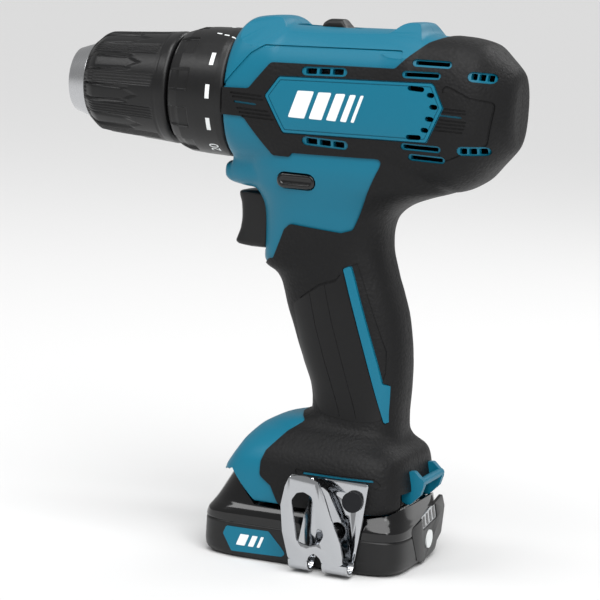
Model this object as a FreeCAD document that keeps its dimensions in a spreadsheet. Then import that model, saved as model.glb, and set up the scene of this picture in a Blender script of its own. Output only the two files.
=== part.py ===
import FreeCAD, Part
import math
import os
import re
import Sketcher
from FreeCAD import Placement, Rotation, Vector

# Cordless drill. Millimetres. +Z is up, the chuck points along -X, the tool's left side faces -Y.
# The origin is the centre of the face that the battery stands on.

doc = FreeCAD.newDocument("CordlessDrill")

# ---------------------------------------------------------------------------------------------
# Driving dimensions: alias, value, what it is
# ---------------------------------------------------------------------------------------------
SIZES = [
    ("axis_z", 177.5, "height of the spindle axis above the floor"),
    ("face_x", -44.1, "front face of the housing"),
    ("motor_face", 8.0, "front face of the motor"),
    ("motor_len", 50.0, "motor can and end bell together"),
    ("tail_room", 9.5, "rear of the motor to the rear of the housing"),
    ("shell_wall", 3.0, "housing wall with its overmould"),
    ("grip_skin", 1.6, "thickness of the rubber overmould"),
    ("chuck_len", 46.0, "nose tip to the rear of the sleeve"),
    ("nose_len", 7.8, "bare steel nose in front of the sleeve"),
    ("nose_tip_r", 12.7, "nose radius at its tip"),
    ("chuck_body_r", 15.2, "chuck body radius inside the sleeve"),
    ("sleeve_skin", 1.4, "sleeve wall over the nut ring"),
    ("chuck_gap", 0.8, "sleeve to torque ring"),
    ("torque_len", 24.2, "length of the torque ring"),
    ("torque_gap", 0.4, "torque ring to housing"),
    ("torque_r", 25.2, "torque ring radius at its rear"),
    ("nose_tube_r", 12.5, "gear case nose tube, outside"),
    ("spindle_r", 5.0, "output spindle radius"),
    ("run_gap", 0.05, "radial clearance of a running fit"),
    ("face_gap", 0.4, "clearance between faces that pass each other"),
    ("jaw_r", 3.6, "jaw radius"),
    ("jaw_offset", 3.3, "jaw axis to spindle axis at the nose"),
    ("jaw_tilt", 17.0, "jaw axis to spindle axis, degrees"),
    ("jaw_len", 31.5, "length of a jaw along its axis"),
    ("jaw_apex", 2.2, "edge of a jaw to the spindle axis, at rest"),
    ("grip_r", 3.25, "radius that the jaws hold at rest"),
    ("grip_len", 8.0, "length of the gripping land"),
    ("tooth_module", 1.1, "gear module"),
    ("pin_r", 1.5, "planet pin radius"),
    ("disc_len", 2.5, "planet carrier disc thickness"),
    ("shift_len", 4.0, "travel of the speed selector"),
    ("clutch_travel", 6.0, "travel of the clutch nut"),
    ("spring_wire_r", 1.0, "clutch spring wire radius"),
    ("motor_r", 18.0, "motor can radius"),
    ("shaft_r", 1.6, "motor shaft radius"),
    ("trigger_half", 9.0, "trigger half width"),
    ("trigger_travel", 6.5, "trigger travel"),
    ("switch_half", 9.5, "switch body half width"),
    ("handle_half", 16.8, "handle half width at its waist"),
    ("cell_d", 18.4, "battery cell diameter"),
    ("cell_len", 65.0, "battery cell length"),
    ("case_floor", 2.3, "battery case floor"),
    ("case_roof", 1.4, "battery case roof"),
    ("case_side", 2.2, "battery case side wall"),
    ("split_z", 14.0, "parting line of the battery case"),
    ("rail_half", 20.0, "half width of the battery's rail block"),
    ("rail_z", 8.6, "height of the rail block above the battery roof"),
    ("clip_wall", 1.2, "belt clip steel thickness"),
    ("screw_r", 1.4, "housing screw shank radius"),
]
SUN_TEETH = 12
PLANET_TEETH = 9
RING_TEETH = SUN_TEETH + 2 * PLANET_TEETH
PLANETS = 3

sheet = doc.addObject("Spreadsheet::Sheet", "Sizes")
for row, (alias, number, note) in enumerate(SIZES, start=1):
    sheet.set("A%d" % row, note)
    sheet.set("B%d" % row, str(number))
    sheet.setAlias("B%d" % row, alias)
doc.recompute()

places = doc.addObject("App::VarSet", "Places")
SIZE_NAMES = {alias for alias, number, note in SIZES}


def bound(text):
    """The expression with each size and place written the way the document names it."""
    def full_name(match):
        word = match.group(0)
        if word in SIZE_NAMES:
            return "Sizes." + word
        if word in places.PropertiesList:
            return "Places." + word
        return word
    return re.sub(r"[a-z][a-z0-9_]*", full_name, text)


def place(name, text):
    """A place worked out from the driving dimensions, kept as a property."""
    places.addProperty("App::PropertyFloat", name)
    places.setExpression(name, bound(text))
    doc.recompute()


def mm(name):
    """The number behind a size or a place."""
    if name in SIZE_NAMES:
        return float(getattr(sheet, name))
    return float(getattr(places, name))


# Chuck and clutch stations, from the housing face forwards
place("torque_rear", "face_x - torque_gap")
place("torque_front", "torque_rear - torque_len")
place("sleeve_rear", "torque_front - chuck_gap")
place("nose_tip", "sleeve_rear - chuck_len")
place("sleeve_front", "nose_tip + nose_len")
place("nut_front", "nose_tip + 21.8")
place("nut_rear", "nut_front + 6.4")
place("nut_bore_r", "chuck_body_r + 0.6")
place("nut_outer_r", "nut_bore_r + 3.2")
place("jaw_tip", "nose_tip + 1")
place("tube_front", "torque_front + 1.2")
# Gear train stations, from the motor forwards
place("ring_a_rear", "motor_face - 2.2")
place("ring_a_front", "ring_a_rear - 5.5")
place("disc_a_rear", "ring_a_front - face_gap")
place("disc_a_front", "disc_a_rear - disc_len")
place("gear_b_rear", "disc_a_front - face_gap")
place("gear_b_front", "gear_b_rear - 6.8")
place("ring_b_front", "gear_b_front + 0.2")
place("ring_b_rear", "ring_b_front + 5")
place("disc_b_rear", "gear_b_front - 0.6")
place("disc_b_front", "disc_b_rear - disc_len")
place("gear_c_rear", "disc_b_front - 0.7")
place("gear_c_front", "gear_c_rear - 9")
place("disc_c_rear", "gear_c_front - face_gap")
place("disc_c_front", "disc_c_rear - 3")
place("ring_c_rear", "gear_c_rear + 0.6")
place("case_wall_rear", "disc_c_rear - 0.1")
place("case_wall_front", "case_wall_rear - 5.9")
place("pitch_sun", "tooth_module * %d / 2" % SUN_TEETH)
place("pitch_planet", "tooth_module * %d / 2" % PLANET_TEETH)
place("pitch_ring", "tooth_module * %d / 2" % RING_TEETH)
place("carrier_r", "pitch_sun + pitch_planet")
place("disc_r", "carrier_r + pin_r + 0.95")
place("ring_outer_r", "pitch_ring + 1.1 * tooth_module + 2.29")
place("case_bore_r", "ring_outer_r + run_gap")
place("case_r", "case_bore_r + 2.45")
place("pin_circle_r", "ring_outer_r - 2.5")
place("washer_front", "case_wall_front - 1.3")
place("clutch_nut_rear", "washer_front - 0.1 - 17")
place("clutch_nut_front", "clutch_nut_rear - 4")
# Housing, switch and battery stations
place("tail_x", "motor_face + motor_len + tail_room")
place("barrel_half", "case_r + 2 + shell_wall")
place("mouth_r", "barrel_half - 3")
place("deck_z", "case_floor + cell_d + case_roof + 0.3")
place("foot_top", "deck_z + 34.6")
place("grip_top", "axis_z - 64.5")
place("pack_half", "1.5 * cell_d + 1.2 + case_side")
place("foot_half", "pack_half - 0.5")
place("pack_front", "-cell_len / 2 - 10")
place("pack_rear", "cell_len / 2 + 8")
place("rail_top", "deck_z + rail_z")
place("switch_top", "axis_z - 35.5")
place("switch_bottom", "axis_z - 59.5")
place("trigger_top", "axis_z - 37.2")
place("trigger_bottom", "axis_z - 59")

finished = []


def keep(item, label):
    """Names a finished sub-part, which is written to its own file."""
    item.Label = label
    finished.append(item)
    return item


def bind(item, **texts):
    """Binds properties of an object; x, y and z stand for its position."""
    for name, text in texts.items():
        path = "Placement.Base." + name if name in ("x", "y", "z") else name
        item.setExpression(path, bound(text))
    return item


# ---------------------------------------------------------------------------------------------
# Ways of making a piece
# ---------------------------------------------------------------------------------------------
def outline_sketch(body, role, points):
    """A closed outline of straight edges whose corners follow the sizes."""
    sketch = body.newObject("Sketcher::SketchObject", "Outline")
    plane = [item for item in body.Origin.OriginFeatures if item.Role == role][0]
    sketch.AttachmentSupport = [(plane, "")]
    sketch.MapMode = "FlatFace"
    count = len(points)
    angles = [2 * math.pi * index / count for index in range(count)]
    corners = [Vector(math.cos(angle), math.sin(angle), 0) for angle in angles]
    for index in range(count):
        sketch.addGeometry(Part.LineSegment(corners[index], corners[(index + 1) % count]))
    for index in range(count):
        following = (index + 1) % count
        sketch.addConstraint(Sketcher.Constraint("Coincident", index, 2, following, 1))
    for index, texts in enumerate(points):
        for kind, text in zip(("DistanceX", "DistanceY"), texts):
            number = sketch.addConstraint(Sketcher.Constraint(kind, -1, 1, index, 1, 1.0))
            sketch.setExpression("Constraints[%d]" % number, bound(text))
    return sketch


def turned(label, points):
    """A piece turned about the spindle axis, from (x, radius) corners."""
    body = doc.addObject("PartDesign::Body", label)
    sketch = outline_sketch(body, "XZ_Plane", points)
    turn = body.newObject("PartDesign::Revolution", "Turned")
    turn.Profile = sketch
    turn.ReferenceAxis = (sketch, ["H_Axis"])
    turn.Angle = 360
    return bind(body, z="axis_z")


def plate(label, points, y_text, depth_text):
    """A plate with an (x, z) outline, from y to y + depth."""
    body = doc.addObject("PartDesign::Body", label)
    sketch = outline_sketch(body, "XZ_Plane", points)
    pad = body.newObject("PartDesign::Pad", "Plate")
    pad.Profile = sketch
    pad.Reversed = True
    bind(pad, Length=depth_text)
    return bind(body, y=y_text)


def rod(label, radius, length, x="0", y="0", z="0", along="x"):
    """A cylinder that starts at a point and runs along one axis."""
    item = doc.addObject("Part::Cylinder", label)
    turns = {"x": Rotation(Vector(0, 1, 0), 90), "y": Rotation(Vector(1, 0, 0), -90), "z": Rotation()}
    item.Placement = Placement(Vector(0, 0, 0), turns[along])
    return bind(item, Radius=radius, Height=length, x=x, y=y, z=z)


def block(label, length, width, height, x, y, z):
    """A box from its low corner."""
    item = doc.addObject("Part::Box", label)
    return bind(item, Length=length, Width=width, Height=height, x=x, y=y, z=z)


def joined(label, items):
    """One solid out of several."""
    item = doc.addObject("Part::MultiFuse", label)
    item.Shapes = items
    return item


def cut(label, base, tool):
    """A solid with another taken away."""
    item = doc.addObject("Part::Cut", label)
    item.Base = base
    item.Tool = tool
    return item


def computed(label, shape, at=None):
    """A piece whose shape is worked out below from the same sizes."""
    item = doc.addObject("Part::Feature", label)
    item.Shape = shape
    item.Placement = at or Placement()
    return item


def ring_of(label, make, circle_r, count=3, first=0.0):
    """Copies of a small rod about the spindle axis; make(y, z) builds one."""
    items = []
    for index in range(count):
        angle = first + 360.0 * index / count
        y_text = "%s * %.6f" % (circle_r, math.cos(math.radians(angle)))
        z_text = "axis_z + %s * %.6f" % (circle_r, math.sin(math.radians(angle)))
        items.append(make(label + "_%d" % (index + 1), y_text, z_text))
    return items


# ---------------------------------------------------------------------------------------------
# Gears: involute teeth with a little backlash, as outlines about the X axis
# ---------------------------------------------------------------------------------------------
ADDENDUM = 0.8
DEDENDUM = 1.1
PRESSURE_ANGLE = math.radians(20.0)
BACKLASH = 0.055
FLANK_STEPS = 4


def involute(angle):
    return math.tan(angle) - angle


def gear_outline(teeth, tip_r, root_r, thinner):
    """Corner points of a gear with a tooth at angle 0; each flank gives way by thinner."""
    module = mm("tooth_module")
    pitch_r = module * teeth / 2
    base_r = pitch_r * math.cos(PRESSURE_ANGLE)
    half_tooth = math.pi / 2 / teeth - thinner / pitch_r
    low_r = max(root_r, base_r)
    flank = []
    for step in range(FLANK_STEPS + 1):
        radius = low_r + (tip_r - low_r) * step / FLANK_STEPS
        here = math.acos(min(1.0, base_r / radius))
        flank.append((radius, half_tooth + involute(PRESSURE_ANGLE) - involute(here)))
    if root_r < low_r:
        flank.insert(0, (root_r, flank[0][1]))
    points = []
    for tooth in range(teeth):
        middle = 2 * math.pi * tooth / teeth
        for radius, angle in flank:
            points.append((radius, middle - angle))
        for radius, angle in reversed(flank):
            points.append((radius, middle + angle))
    return points


def gear_prism(outline, x_front, x_rear, turned_by=0.0):
    """The outline as a solid from x_front to x_rear about the X axis."""
    corners = []
    for radius, angle in outline:
        turn = angle + turned_by
        corners.append(Vector(x_front, radius * math.cos(turn), radius * math.sin(turn)))
    face = Part.Face(Part.makePolygon(corners + corners[:1]))
    return face.extrude(Vector(x_rear - x_front, 0, 0))


def x_rod(radius, x_front, x_rear, y=0.0, z=0.0):
    return Part.makeCylinder(radius, x_rear - x_front, Vector(x_front, y, z), Vector(1, 0, 0))


def outside_gear(teeth, x_front, x_rear, turned_by=0.0):
    pitch_r = mm("tooth_module") * teeth / 2
    tip_r = pitch_r + ADDENDUM * mm("tooth_module")
    root_r = pitch_r - DEDENDUM * mm("tooth_module")
    return gear_prism(gear_outline(teeth, tip_r, root_r, BACKLASH), x_front, x_rear, turned_by)


def ring_gear(x_front, x_rear):
    """A ring with a tooth space at angle 0, towards the first planet."""
    tip_r = mm("pitch_ring") + DEDENDUM * mm("tooth_module")
    root_r = mm("pitch_ring") - ADDENDUM * mm("tooth_module")
    outline = gear_outline(RING_TEETH, tip_r, root_r, -BACKLASH)
    blank = x_rod(mm("ring_outer_r"), x_front, x_rear)
    return blank.cut(gear_prism(outline, x_front - 1, x_rear + 1))


def planet_gear(x_front, x_rear):
    """A planet about its own axis, with a tooth that points away from the sun."""
    gear = outside_gear(PLANET_TEETH, x_front, x_rear)
    return gear.cut(x_rod(mm("pin_r") + mm("run_gap"), x_front - 1, x_rear + 1))


def on_axis():
    return Placement(Vector(0, 0, mm("axis_z")), Rotation())


def about_axis(turn):
    return Placement(Vector(0, 0, mm("axis_z")), Rotation(Vector(1, 0, 0), turn))


def carrier(disc_front, disc_rear, pin_rear, sun_front):
    """A planet carrier: disc, planet pins to the rear and the next sun to the front."""
    shape = x_rod(mm("disc_r"), disc_front, disc_rear)
    shape = shape.fuse(outside_gear(SUN_TEETH, sun_front, disc_front + 0.5))
    for index in range(PLANETS):
        turn = 2 * math.pi * index / PLANETS
        y = mm("carrier_r") * math.cos(turn)
        z = mm("carrier_r") * math.sin(turn)
        shape = shape.fuse(x_rod(mm("pin_r"), disc_rear - 0.5, pin_rear, y, z))
    return shape


def make_gear_train():
    """Three planetary stages; the middle ring slides to change the speed."""
    stages = (
        ("ring_gear_1", "ring_a_front", "ring_a_rear", "ring_a_front", "ring_a_rear"),
        ("ring_gear_2", "ring_b_front", "ring_b_rear", "gear_b_front", "gear_b_rear"),
        ("ring_gear_3", "disc_c_rear", "ring_c_rear", "gear_c_front", "gear_c_rear"),
    )
    for stage, (label, front, rear, gear_front, gear_rear) in enumerate(stages, start=1):
        ring = ring_gear(mm(front), mm(rear))
        if stage == 2:
            middle = (mm(front) + mm(rear)) / 2
            groove = x_rod(mm("ring_outer_r") + 1, middle - 0.75, middle + 0.75)
            groove = groove.cut(x_rod(mm("ring_outer_r") - 1, middle - 2, middle + 2))
            ring = ring.cut(groove)
        keep(computed(label, ring, on_axis()), label)
        inset = 0.3 if stage == 1 else 0.0
        gear = planet_gear(mm(gear_front) + inset, mm(gear_rear) - inset)
        for index in range(PLANETS):
            turn = 360.0 * index / PLANETS
            away = Vector(0, mm("carrier_r"), 0)
            at = about_axis(turn).multiply(Placement(away, Rotation()))
            name = "planet_gear_%d%s" % (stage, "abc"[index])
            keep(computed(name, gear, at), name)
    first = carrier(mm("disc_a_front"), mm("disc_a_rear"), mm("ring_a_rear") - 0.5, mm("disc_b_rear") + 0.2)
    keep(computed("carrier_1", first, on_axis()), "carrier_1")
    second = carrier(mm("disc_b_front"), mm("disc_b_rear"), mm("gear_b_rear") - 0.2, mm("disc_c_rear") + 0.1)
    keep(computed("carrier_2", second, on_axis()), "carrier_2")
    pinion = outside_gear(SUN_TEETH, mm("disc_a_rear") + 0.2, mm("motor_face") - 0.6)
    pinion = pinion.cut(x_rod(mm("shaft_r"), mm("disc_a_rear") - 1, mm("motor_face")))
    keep(computed("motor_pinion", pinion, on_axis()), "motor_pinion")


def make_spindle():
    """The output shaft with the last planet carrier on its rear end."""
    socket_x = mm("sleeve_rear") - 17.5
    shape = x_rod(mm("spindle_r"), socket_x, mm("disc_c_front") + 0.5)
    shape = shape.fuse(x_rod(mm("disc_r"), mm("disc_c_front"), mm("disc_c_rear")))
    for index in range(PLANETS):
        turn = 2 * math.pi * index / PLANETS
        y = mm("carrier_r") * math.cos(turn)
        z = mm("carrier_r") * math.sin(turn)
        shape = shape.fuse(x_rod(mm("pin_r"), mm("disc_c_rear") - 0.5, mm("gear_c_rear") - 0.2, y, z))
    shape = shape.cut(x_rod(2.05, socket_x - 1, socket_x + 12))
    keep(computed("spindle", shape, on_axis()), "spindle")


# ---------------------------------------------------------------------------------------------
# Chuck
# ---------------------------------------------------------------------------------------------
def jaw_frame(turn):
    """Placement whose +X runs up a jaw's axis, from the nose to the rear and outwards."""
    tilt = Rotation(Vector(0, 1, 0), -mm("jaw_tilt"))
    start = Placement(Vector(mm("jaw_tip"), 0, mm("jaw_offset")), tilt)
    return Placement(Vector(0, 0, 0), Rotation(Vector(1, 0, 0), turn)).multiply(start)


def make_chuck():
    """Keyless three-jaw chuck: body, jaws, nut ring, sleeve and the screw that holds it."""
    body = turned("chuck_body_turned", [
        ("nose_tip", "6.6"),
        ("nose_tip", "nose_tip_r"),
        ("sleeve_front - 0.3", "chuck_body_r"),
        ("nut_rear + 0.3", "chuck_body_r"),
        ("nut_rear + 0.3", "nut_outer_r - 0.3"),
        ("nut_rear + 4.8", "nut_outer_r - 0.3"),
        ("nut_rear + 4.8", "chuck_body_r - 0.2"),
        ("sleeve_rear - 0.5", "chuck_body_r - 0.2"),
        ("sleeve_rear - 0.5", "spindle_r"),
        ("sleeve_rear - 17.5", "spindle_r"),
        ("sleeve_rear - 17.5", "2.1"),
        ("sleeve_rear - 21.5", "2.1"),
        ("sleeve_rear - 21.5", "6.6"),
    ])
    bores = None
    for index in range(3):
        bore = x_rod(mm("jaw_r") + mm("run_gap"), -6, mm("jaw_len") + 7.5)
        bore.Placement = jaw_frame(90 + 120.0 * index)
        bores = bore if bores is None else bores.fuse(bore)
    keep(cut("chuck_body_cut", body, computed("jaw_bores", bores, on_axis())), "chuck_body")

    slant = math.radians(mm("jaw_tilt"))
    for index in range(3):
        rod_shape = x_rod(mm("jaw_r"), -2, mm("jaw_len"))
        rod_shape.Placement = jaw_frame(0)
        reach = mm("jaw_len") + 10
        edge = Vector(mm("jaw_tip"), 0, mm("jaw_apex"))
        side = reach * math.tan(math.radians(60))
        wedge_points = [edge, edge + Vector(0, side, reach), edge + Vector(0, -side, reach), edge]
        wedge = Part.Face(Part.makePolygon(wedge_points)).extrude(Vector(reach, 0, 0))
        jaw = rod_shape.common(wedge)
        land_rear = mm("jaw_tip") + mm("grip_len")
        jaw = jaw.cut(x_rod(mm("grip_r"), mm("jaw_tip") - 1, land_rear))
        jaw = jaw.cut(x_rod(mm("grip_r") + 0.5, land_rear, mm("jaw_tip") + reach * math.cos(slant)))
        name = "chuck_jaw_%d" % (index + 1)
        keep(computed(name, jaw, about_axis(90 + 120.0 * index)), name)

    keep(turned("nut_ring", [
        ("nut_front", "nut_bore_r"),
        ("nut_front", "nut_outer_r"),
        ("nut_rear", "nut_outer_r"),
        ("nut_rear", "nut_bore_r"),
    ]), "chuck_nut_ring")
    keep(turned("sleeve", [
        ("sleeve_front", "chuck_body_r + run_gap"),
        ("sleeve_front", "chuck_body_r + 1.3"),
        ("sleeve_front + 5.2", "nut_outer_r + sleeve_skin - 0.6"),
        ("nut_front - 3", "nut_outer_r + sleeve_skin"),
        ("sleeve_rear", "nut_outer_r + sleeve_skin + 1.7"),
        ("sleeve_rear", "nut_outer_r"),
        ("nut_front", "nut_outer_r"),
        ("nut_front", "chuck_body_r + run_gap"),
    ]), "chuck_sleeve")
    keep(turned("screw", [
        ("sleeve_rear - 24.3", "0"),
        ("sleeve_rear - 24.3", "4"),
        ("sleeve_rear - 21.5", "4"),
        ("sleeve_rear - 21.5", "2"),
        ("sleeve_rear - 6.5", "2"),
        ("sleeve_rear - 6.5", "0"),
    ]), "chuck_screw")


# ---------------------------------------------------------------------------------------------
# Clutch and gear case
# ---------------------------------------------------------------------------------------------
def make_clutch():
    """Torque ring, nut, spring, washer and the pins that press on the last ring gear."""
    keep(turned("bearing", [
        ("tube_front", "spindle_r + run_gap"),
        ("tube_front", "spindle_r + 3"),
        ("tube_front + 5", "spindle_r + 3"),
        ("tube_front + 5", "spindle_r + run_gap"),
    ]), "front_bearing")
    collar = turned("torque_ring_turned", [
        ("torque_front", "nose_tube_r + 0.08"),
        ("torque_front", "torque_r - 2.6"),
        ("torque_front + 5", "torque_r - 0.7"),
        ("torque_rear", "torque_r"),
        ("torque_rear", "nose_tube_r + 6.6"),
        ("torque_front + 4", "nose_tube_r + 6.6"),
        ("torque_front + 4", "nose_tube_r + 0.08"),
    ])
    key_slot = block("key_slot", "torque_len - 5", "nose_tube_r * 2 + 15.6", "3.4",
                     "torque_front + 5.01", "-nose_tube_r - 7.8", "axis_z - 1.7")
    keep(cut("torque_ring_cut", collar, key_slot), "torque_ring")
    nut = turned("clutch_nut_turned", [
        ("clutch_nut_front", "nose_tube_r + 0.08"),
        ("clutch_nut_front", "nose_tube_r + 6.2"),
        ("clutch_nut_rear", "nose_tube_r + 6.2"),
        ("clutch_nut_rear", "nose_tube_r + 0.08"),
    ])
    keys = []
    for side, y_text in ((1, "nose_tube_r + 5"), (2, "-nose_tube_r - 7.5")):
        keys.append(block("nut_key_%d" % side, "clutch_nut_rear - clutch_nut_front", "2.5", "3",
                          "clutch_nut_front", y_text, "axis_z - 1.5"))
    keep(joined("clutch_nut_keyed", [nut] + keys), "clutch_adjusting_nut")

    coil_r = mm("nose_tube_r") + 1.5 + mm("spring_wire_r")
    wire_r = mm("spring_wire_r")
    front = mm("clutch_nut_rear") + wire_r + 0.05
    length = mm("washer_front") - mm("clutch_nut_rear") - 2 * wire_r - 0.1
    keep(computed("clutch_spring", coil(coil_r, wire_r, length, 5),
                  Placement(Vector(front, 0, mm("axis_z")), Rotation(Vector(0, 1, 0), 90))), "clutch_spring")
    keep(turned("washer", [
        ("washer_front", "nose_tube_r + 0.1"),
        ("washer_front", "pin_circle_r + pin_r + 1"),
        ("case_wall_front - 0.1", "pin_circle_r + pin_r + 1"),
        ("case_wall_front - 0.1", "nose_tube_r + 0.1"),
    ]), "clutch_thrust_washer")
    pins = ring_of("clutch_pin", lambda label, y, z: rod(
        label, "pin_r", "case_wall_rear - case_wall_front", "case_wall_front", y, z), "pin_circle_r", 6)
    keep(joined("clutch_pins_all", pins), "clutch_pins")


def coil(coil_r, wire_r, length, turns):
    """A compression spring of round wire that runs along Z, as tilted half rings that meet in line."""
    halves = 2 * turns
    rise = length / halves
    spring = None
    for index in range(halves):
        side = 1 if index % 2 == 0 else -1
        low = index * rise
        section = Part.Face(Part.Wire([Part.makeCircle(wire_r, Vector(side * coil_r, 0, low), Vector(0, 1, 0))]))
        half = section.revolve(Vector(0, 0, low + rise / 2), Vector(side * rise / 2, 0, coil_r), 180)
        spring = half if spring is None else spring.fuse(half)
    return spring


def make_gear_case():
    case = turned("gear_case_turned", [
        ("tube_front", "spindle_r + 3"),
        ("tube_front", "nose_tube_r"),
        ("case_wall_front", "nose_tube_r"),
        ("case_wall_front", "case_r"),
        ("motor_face - 0.5", "case_r"),
        ("motor_face - 0.5", "case_bore_r"),
        ("case_wall_rear", "case_bore_r"),
        ("case_wall_rear", "disc_r + 0.3"),
        ("disc_c_front - face_gap", "disc_r + 0.3"),
        ("disc_c_front - face_gap", "spindle_r + run_gap"),
        ("tube_front + 5", "spindle_r + run_gap"),
        ("tube_front + 5", "spindle_r + 3"),
    ])
    holes = ring_of("pin_hole", lambda label, y, z: rod(
        label, "pin_r + run_gap", "8", "case_wall_front - 1", y, z), "pin_circle_r", 6)
    slots = []
    for side, y_text in ((1, "case_r - 4"), (2, "-case_r - 4")):
        slots.append(block("shift_slot_%d" % side, "shift_len + 1.6", "8", "1.6",
                           "(ring_b_front + ring_b_rear) / 2 - 0.8", y_text, "axis_z - 0.8"))
    keep(cut("gear_case_cut", case, joined("gear_case_holes", holes + slots)), "gear_case")


def make_speed_selector():
    """Thumb slide on top, and the wire that carries its movement to the middle ring gear."""
    wire_r = 0.6
    arch_r = mm("case_r") + wire_r + 0.15
    middle = (mm("ring_b_front") + mm("ring_b_rear")) / 2
    arch = Part.makeCircle(arch_r, Vector(0, 0, 0), Vector(0, 0, 1), 0, 180)
    section = Part.Wire([Part.makeCircle(wire_r, Vector(arch_r, 0, 0), Vector(0, 1, 0))])
    shape = Part.Wire([arch]).makePipeShell([section], True, True)
    turn = Placement(Vector(middle, 0, 0), Rotation(Vector(0, 1, 0), Vector(0, 0, 1), Vector(1, 0, 0), "XYZ"))
    shape.Placement = turn
    reach = mm("ring_outer_r") - 0.7
    for side in (-1, 1):
        start = Vector(middle, side * reach, 0)
        pin = Part.makeCylinder(wire_r, arch_r - reach + 0.2, start, Vector(0, side, 0))
        shape = shape.fuse(pin)
    keep(computed("shift_wire", shape, on_axis()), "shift_wire")

    foot = block("selector_foot", "5", "8", "3.6", "(ring_b_front + ring_b_rear) / 2 - 2.5", "-4", "axis_z + case_r + 0.3")
    saddle = rod("selector_saddle", "1", "12", "(ring_b_front + ring_b_rear) / 2", "-6",
                 "axis_z + case_r + 0.75", "y")
    slider = block("selector_slider", "14", "11", "1.6", "(ring_b_front + ring_b_rear) / 2 - 7", "-5.5",
                   "axis_z + mouth_r + 0.6")
    knob = block("selector_knob", "10", "9", "5.4", "(ring_b_front + ring_b_rear) / 2 - 5", "-4.5",
                 "axis_z + mouth_r + 1.6")
    whole = joined("selector_whole", [foot, slider, knob])
    keep(cut("selector_cut", whole, saddle), "speed_selector")


# ---------------------------------------------------------------------------------------------
# Motor
# ---------------------------------------------------------------------------------------------
def make_motor():
    place("can_rear", "motor_face + motor_len - 6")
    place("core_front", "motor_face + 9")
    place("core_rear", "can_rear - 12")
    keep(turned("can", [
        ("motor_face", "3.6"),
        ("motor_face", "motor_r"),
        ("can_rear", "motor_r"),
        ("can_rear", "motor_r - 1.3"),
        ("motor_face + 1.5", "motor_r - 1.3"),
        ("motor_face + 1.5", "3.6"),
    ]), "motor_can")
    keep(turned("end_bell", [
        ("can_rear", "motor_r - 6"),
        ("can_rear", "motor_r"),
        ("can_rear + 4", "motor_r"),
        ("can_rear + 6", "motor_r - 5"),
        ("can_rear + 6", "shaft_r + run_gap"),
        ("can_rear + 3", "shaft_r + run_gap"),
        ("can_rear + 3", "motor_r - 6"),
    ]), "motor_end_bell")
    ring = x_rod(mm("motor_r") - 1.35, mm("core_front") - 2, mm("core_rear") + 2)
    ring = ring.cut(x_rod(mm("motor_r") - 4.4, 0, 200))
    gap = Part.makeBox(200, 9, 80, Vector(0, -4.5, -40))
    keep(computed("motor_magnets", ring.cut(gap), on_axis()), "motor_magnets")

    core = x_rod(mm("motor_r") - 4.8, mm("core_front"), mm("core_rear"))
    core = core.cut(x_rod(mm("shaft_r"), 0, 200))
    coils = None
    core_r = mm("motor_r") - 4.8
    for index in range(5):
        turn = 2 * math.pi * index / 5
        y = (core_r - 3.6) * math.cos(turn)
        z = (core_r - 3.6) * math.sin(turn)
        slot = x_rod(2.4, mm("core_front") - 1, mm("core_rear") + 1, y, z)
        mouth = Part.makeBox(200, 1.4, 6, Vector(0, -0.7, core_r - 4))
        mouth.rotate(Vector(0, 0, 0), Vector(1, 0, 0), math.degrees(turn) - 90)
        core = core.cut(slot).cut(mouth)
        wire = x_rod(2.3, mm("core_front") - 3, mm("core_rear") + 3, y, z)
        coils = wire if coils is None else coils.fuse(wire)
    for front in (mm("core_front") - 4.5, mm("core_rear") + 1):
        end = x_rod(core_r - 1, front, front + 3.5).cut(x_rod(4.2, front - 1, front + 5))
        coils = coils.fuse(end)
    keep(computed("armature_core", core, on_axis()), "armature_core")
    keep(computed("armature_windings", coils, on_axis()), "armature_windings")
    keep(turned("commutator_turned", [
        ("core_rear + 5.2", "shaft_r"),
        ("core_rear + 5.2", "4.6"),
        ("can_rear - 0.6", "4.6"),
        ("can_rear - 0.6", "shaft_r"),
    ]), "commutator")
    keep(rod("motor_shaft", "shaft_r", "motor_len - 1 + motor_face - disc_a_rear", "disc_a_rear + 0.5",
             "0", "axis_z"), "armature_shaft")
    brushes = []
    for side, y_text in ((1, "4.75"), (2, "-9.25")):
        brushes.append(block("brush_%d" % side, "4", "4.5", "3", "can_rear - 5.5", y_text, "axis_z - 1.5"))
    keep(joined("brush_pair", brushes), "carbon_brushes")


# ---------------------------------------------------------------------------------------------
# Housing: one outer form, inset for the overmould and again for the inside
# ---------------------------------------------------------------------------------------------
def round_rect(low_u, high_u, low_v, high_v, corner, spot):
    """A rounded rectangle; spot turns (u, v) into a point."""
    corner = min(corner, (high_u - low_u) / 2 - 0.05, (high_v - low_v) / 2 - 0.05)
    edges = []
    middles = ((high_u - corner, low_v + corner, -90), (high_u - corner, high_v - corner, 0),
               (low_u + corner, high_v - corner, 90), (low_u + corner, low_v + corner, 180))
    arcs = []
    for u, v, start in middles:
        turns = [math.radians(start + step) for step in (0, 45, 90)]
        arcs.append([spot(u + corner * math.cos(turn), v + corner * math.sin(turn)) for turn in turns])
    for index, arc in enumerate(arcs):
        edges.append(Part.Arc(*arc).toShape())
        edges.append(Part.LineSegment(arc[2], arcs[(index + 1) % 4][0]).toShape())
    return Part.Wire(edges)


def loft(wires):
    return Part.makeLoft(wires, True, True)


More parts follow.
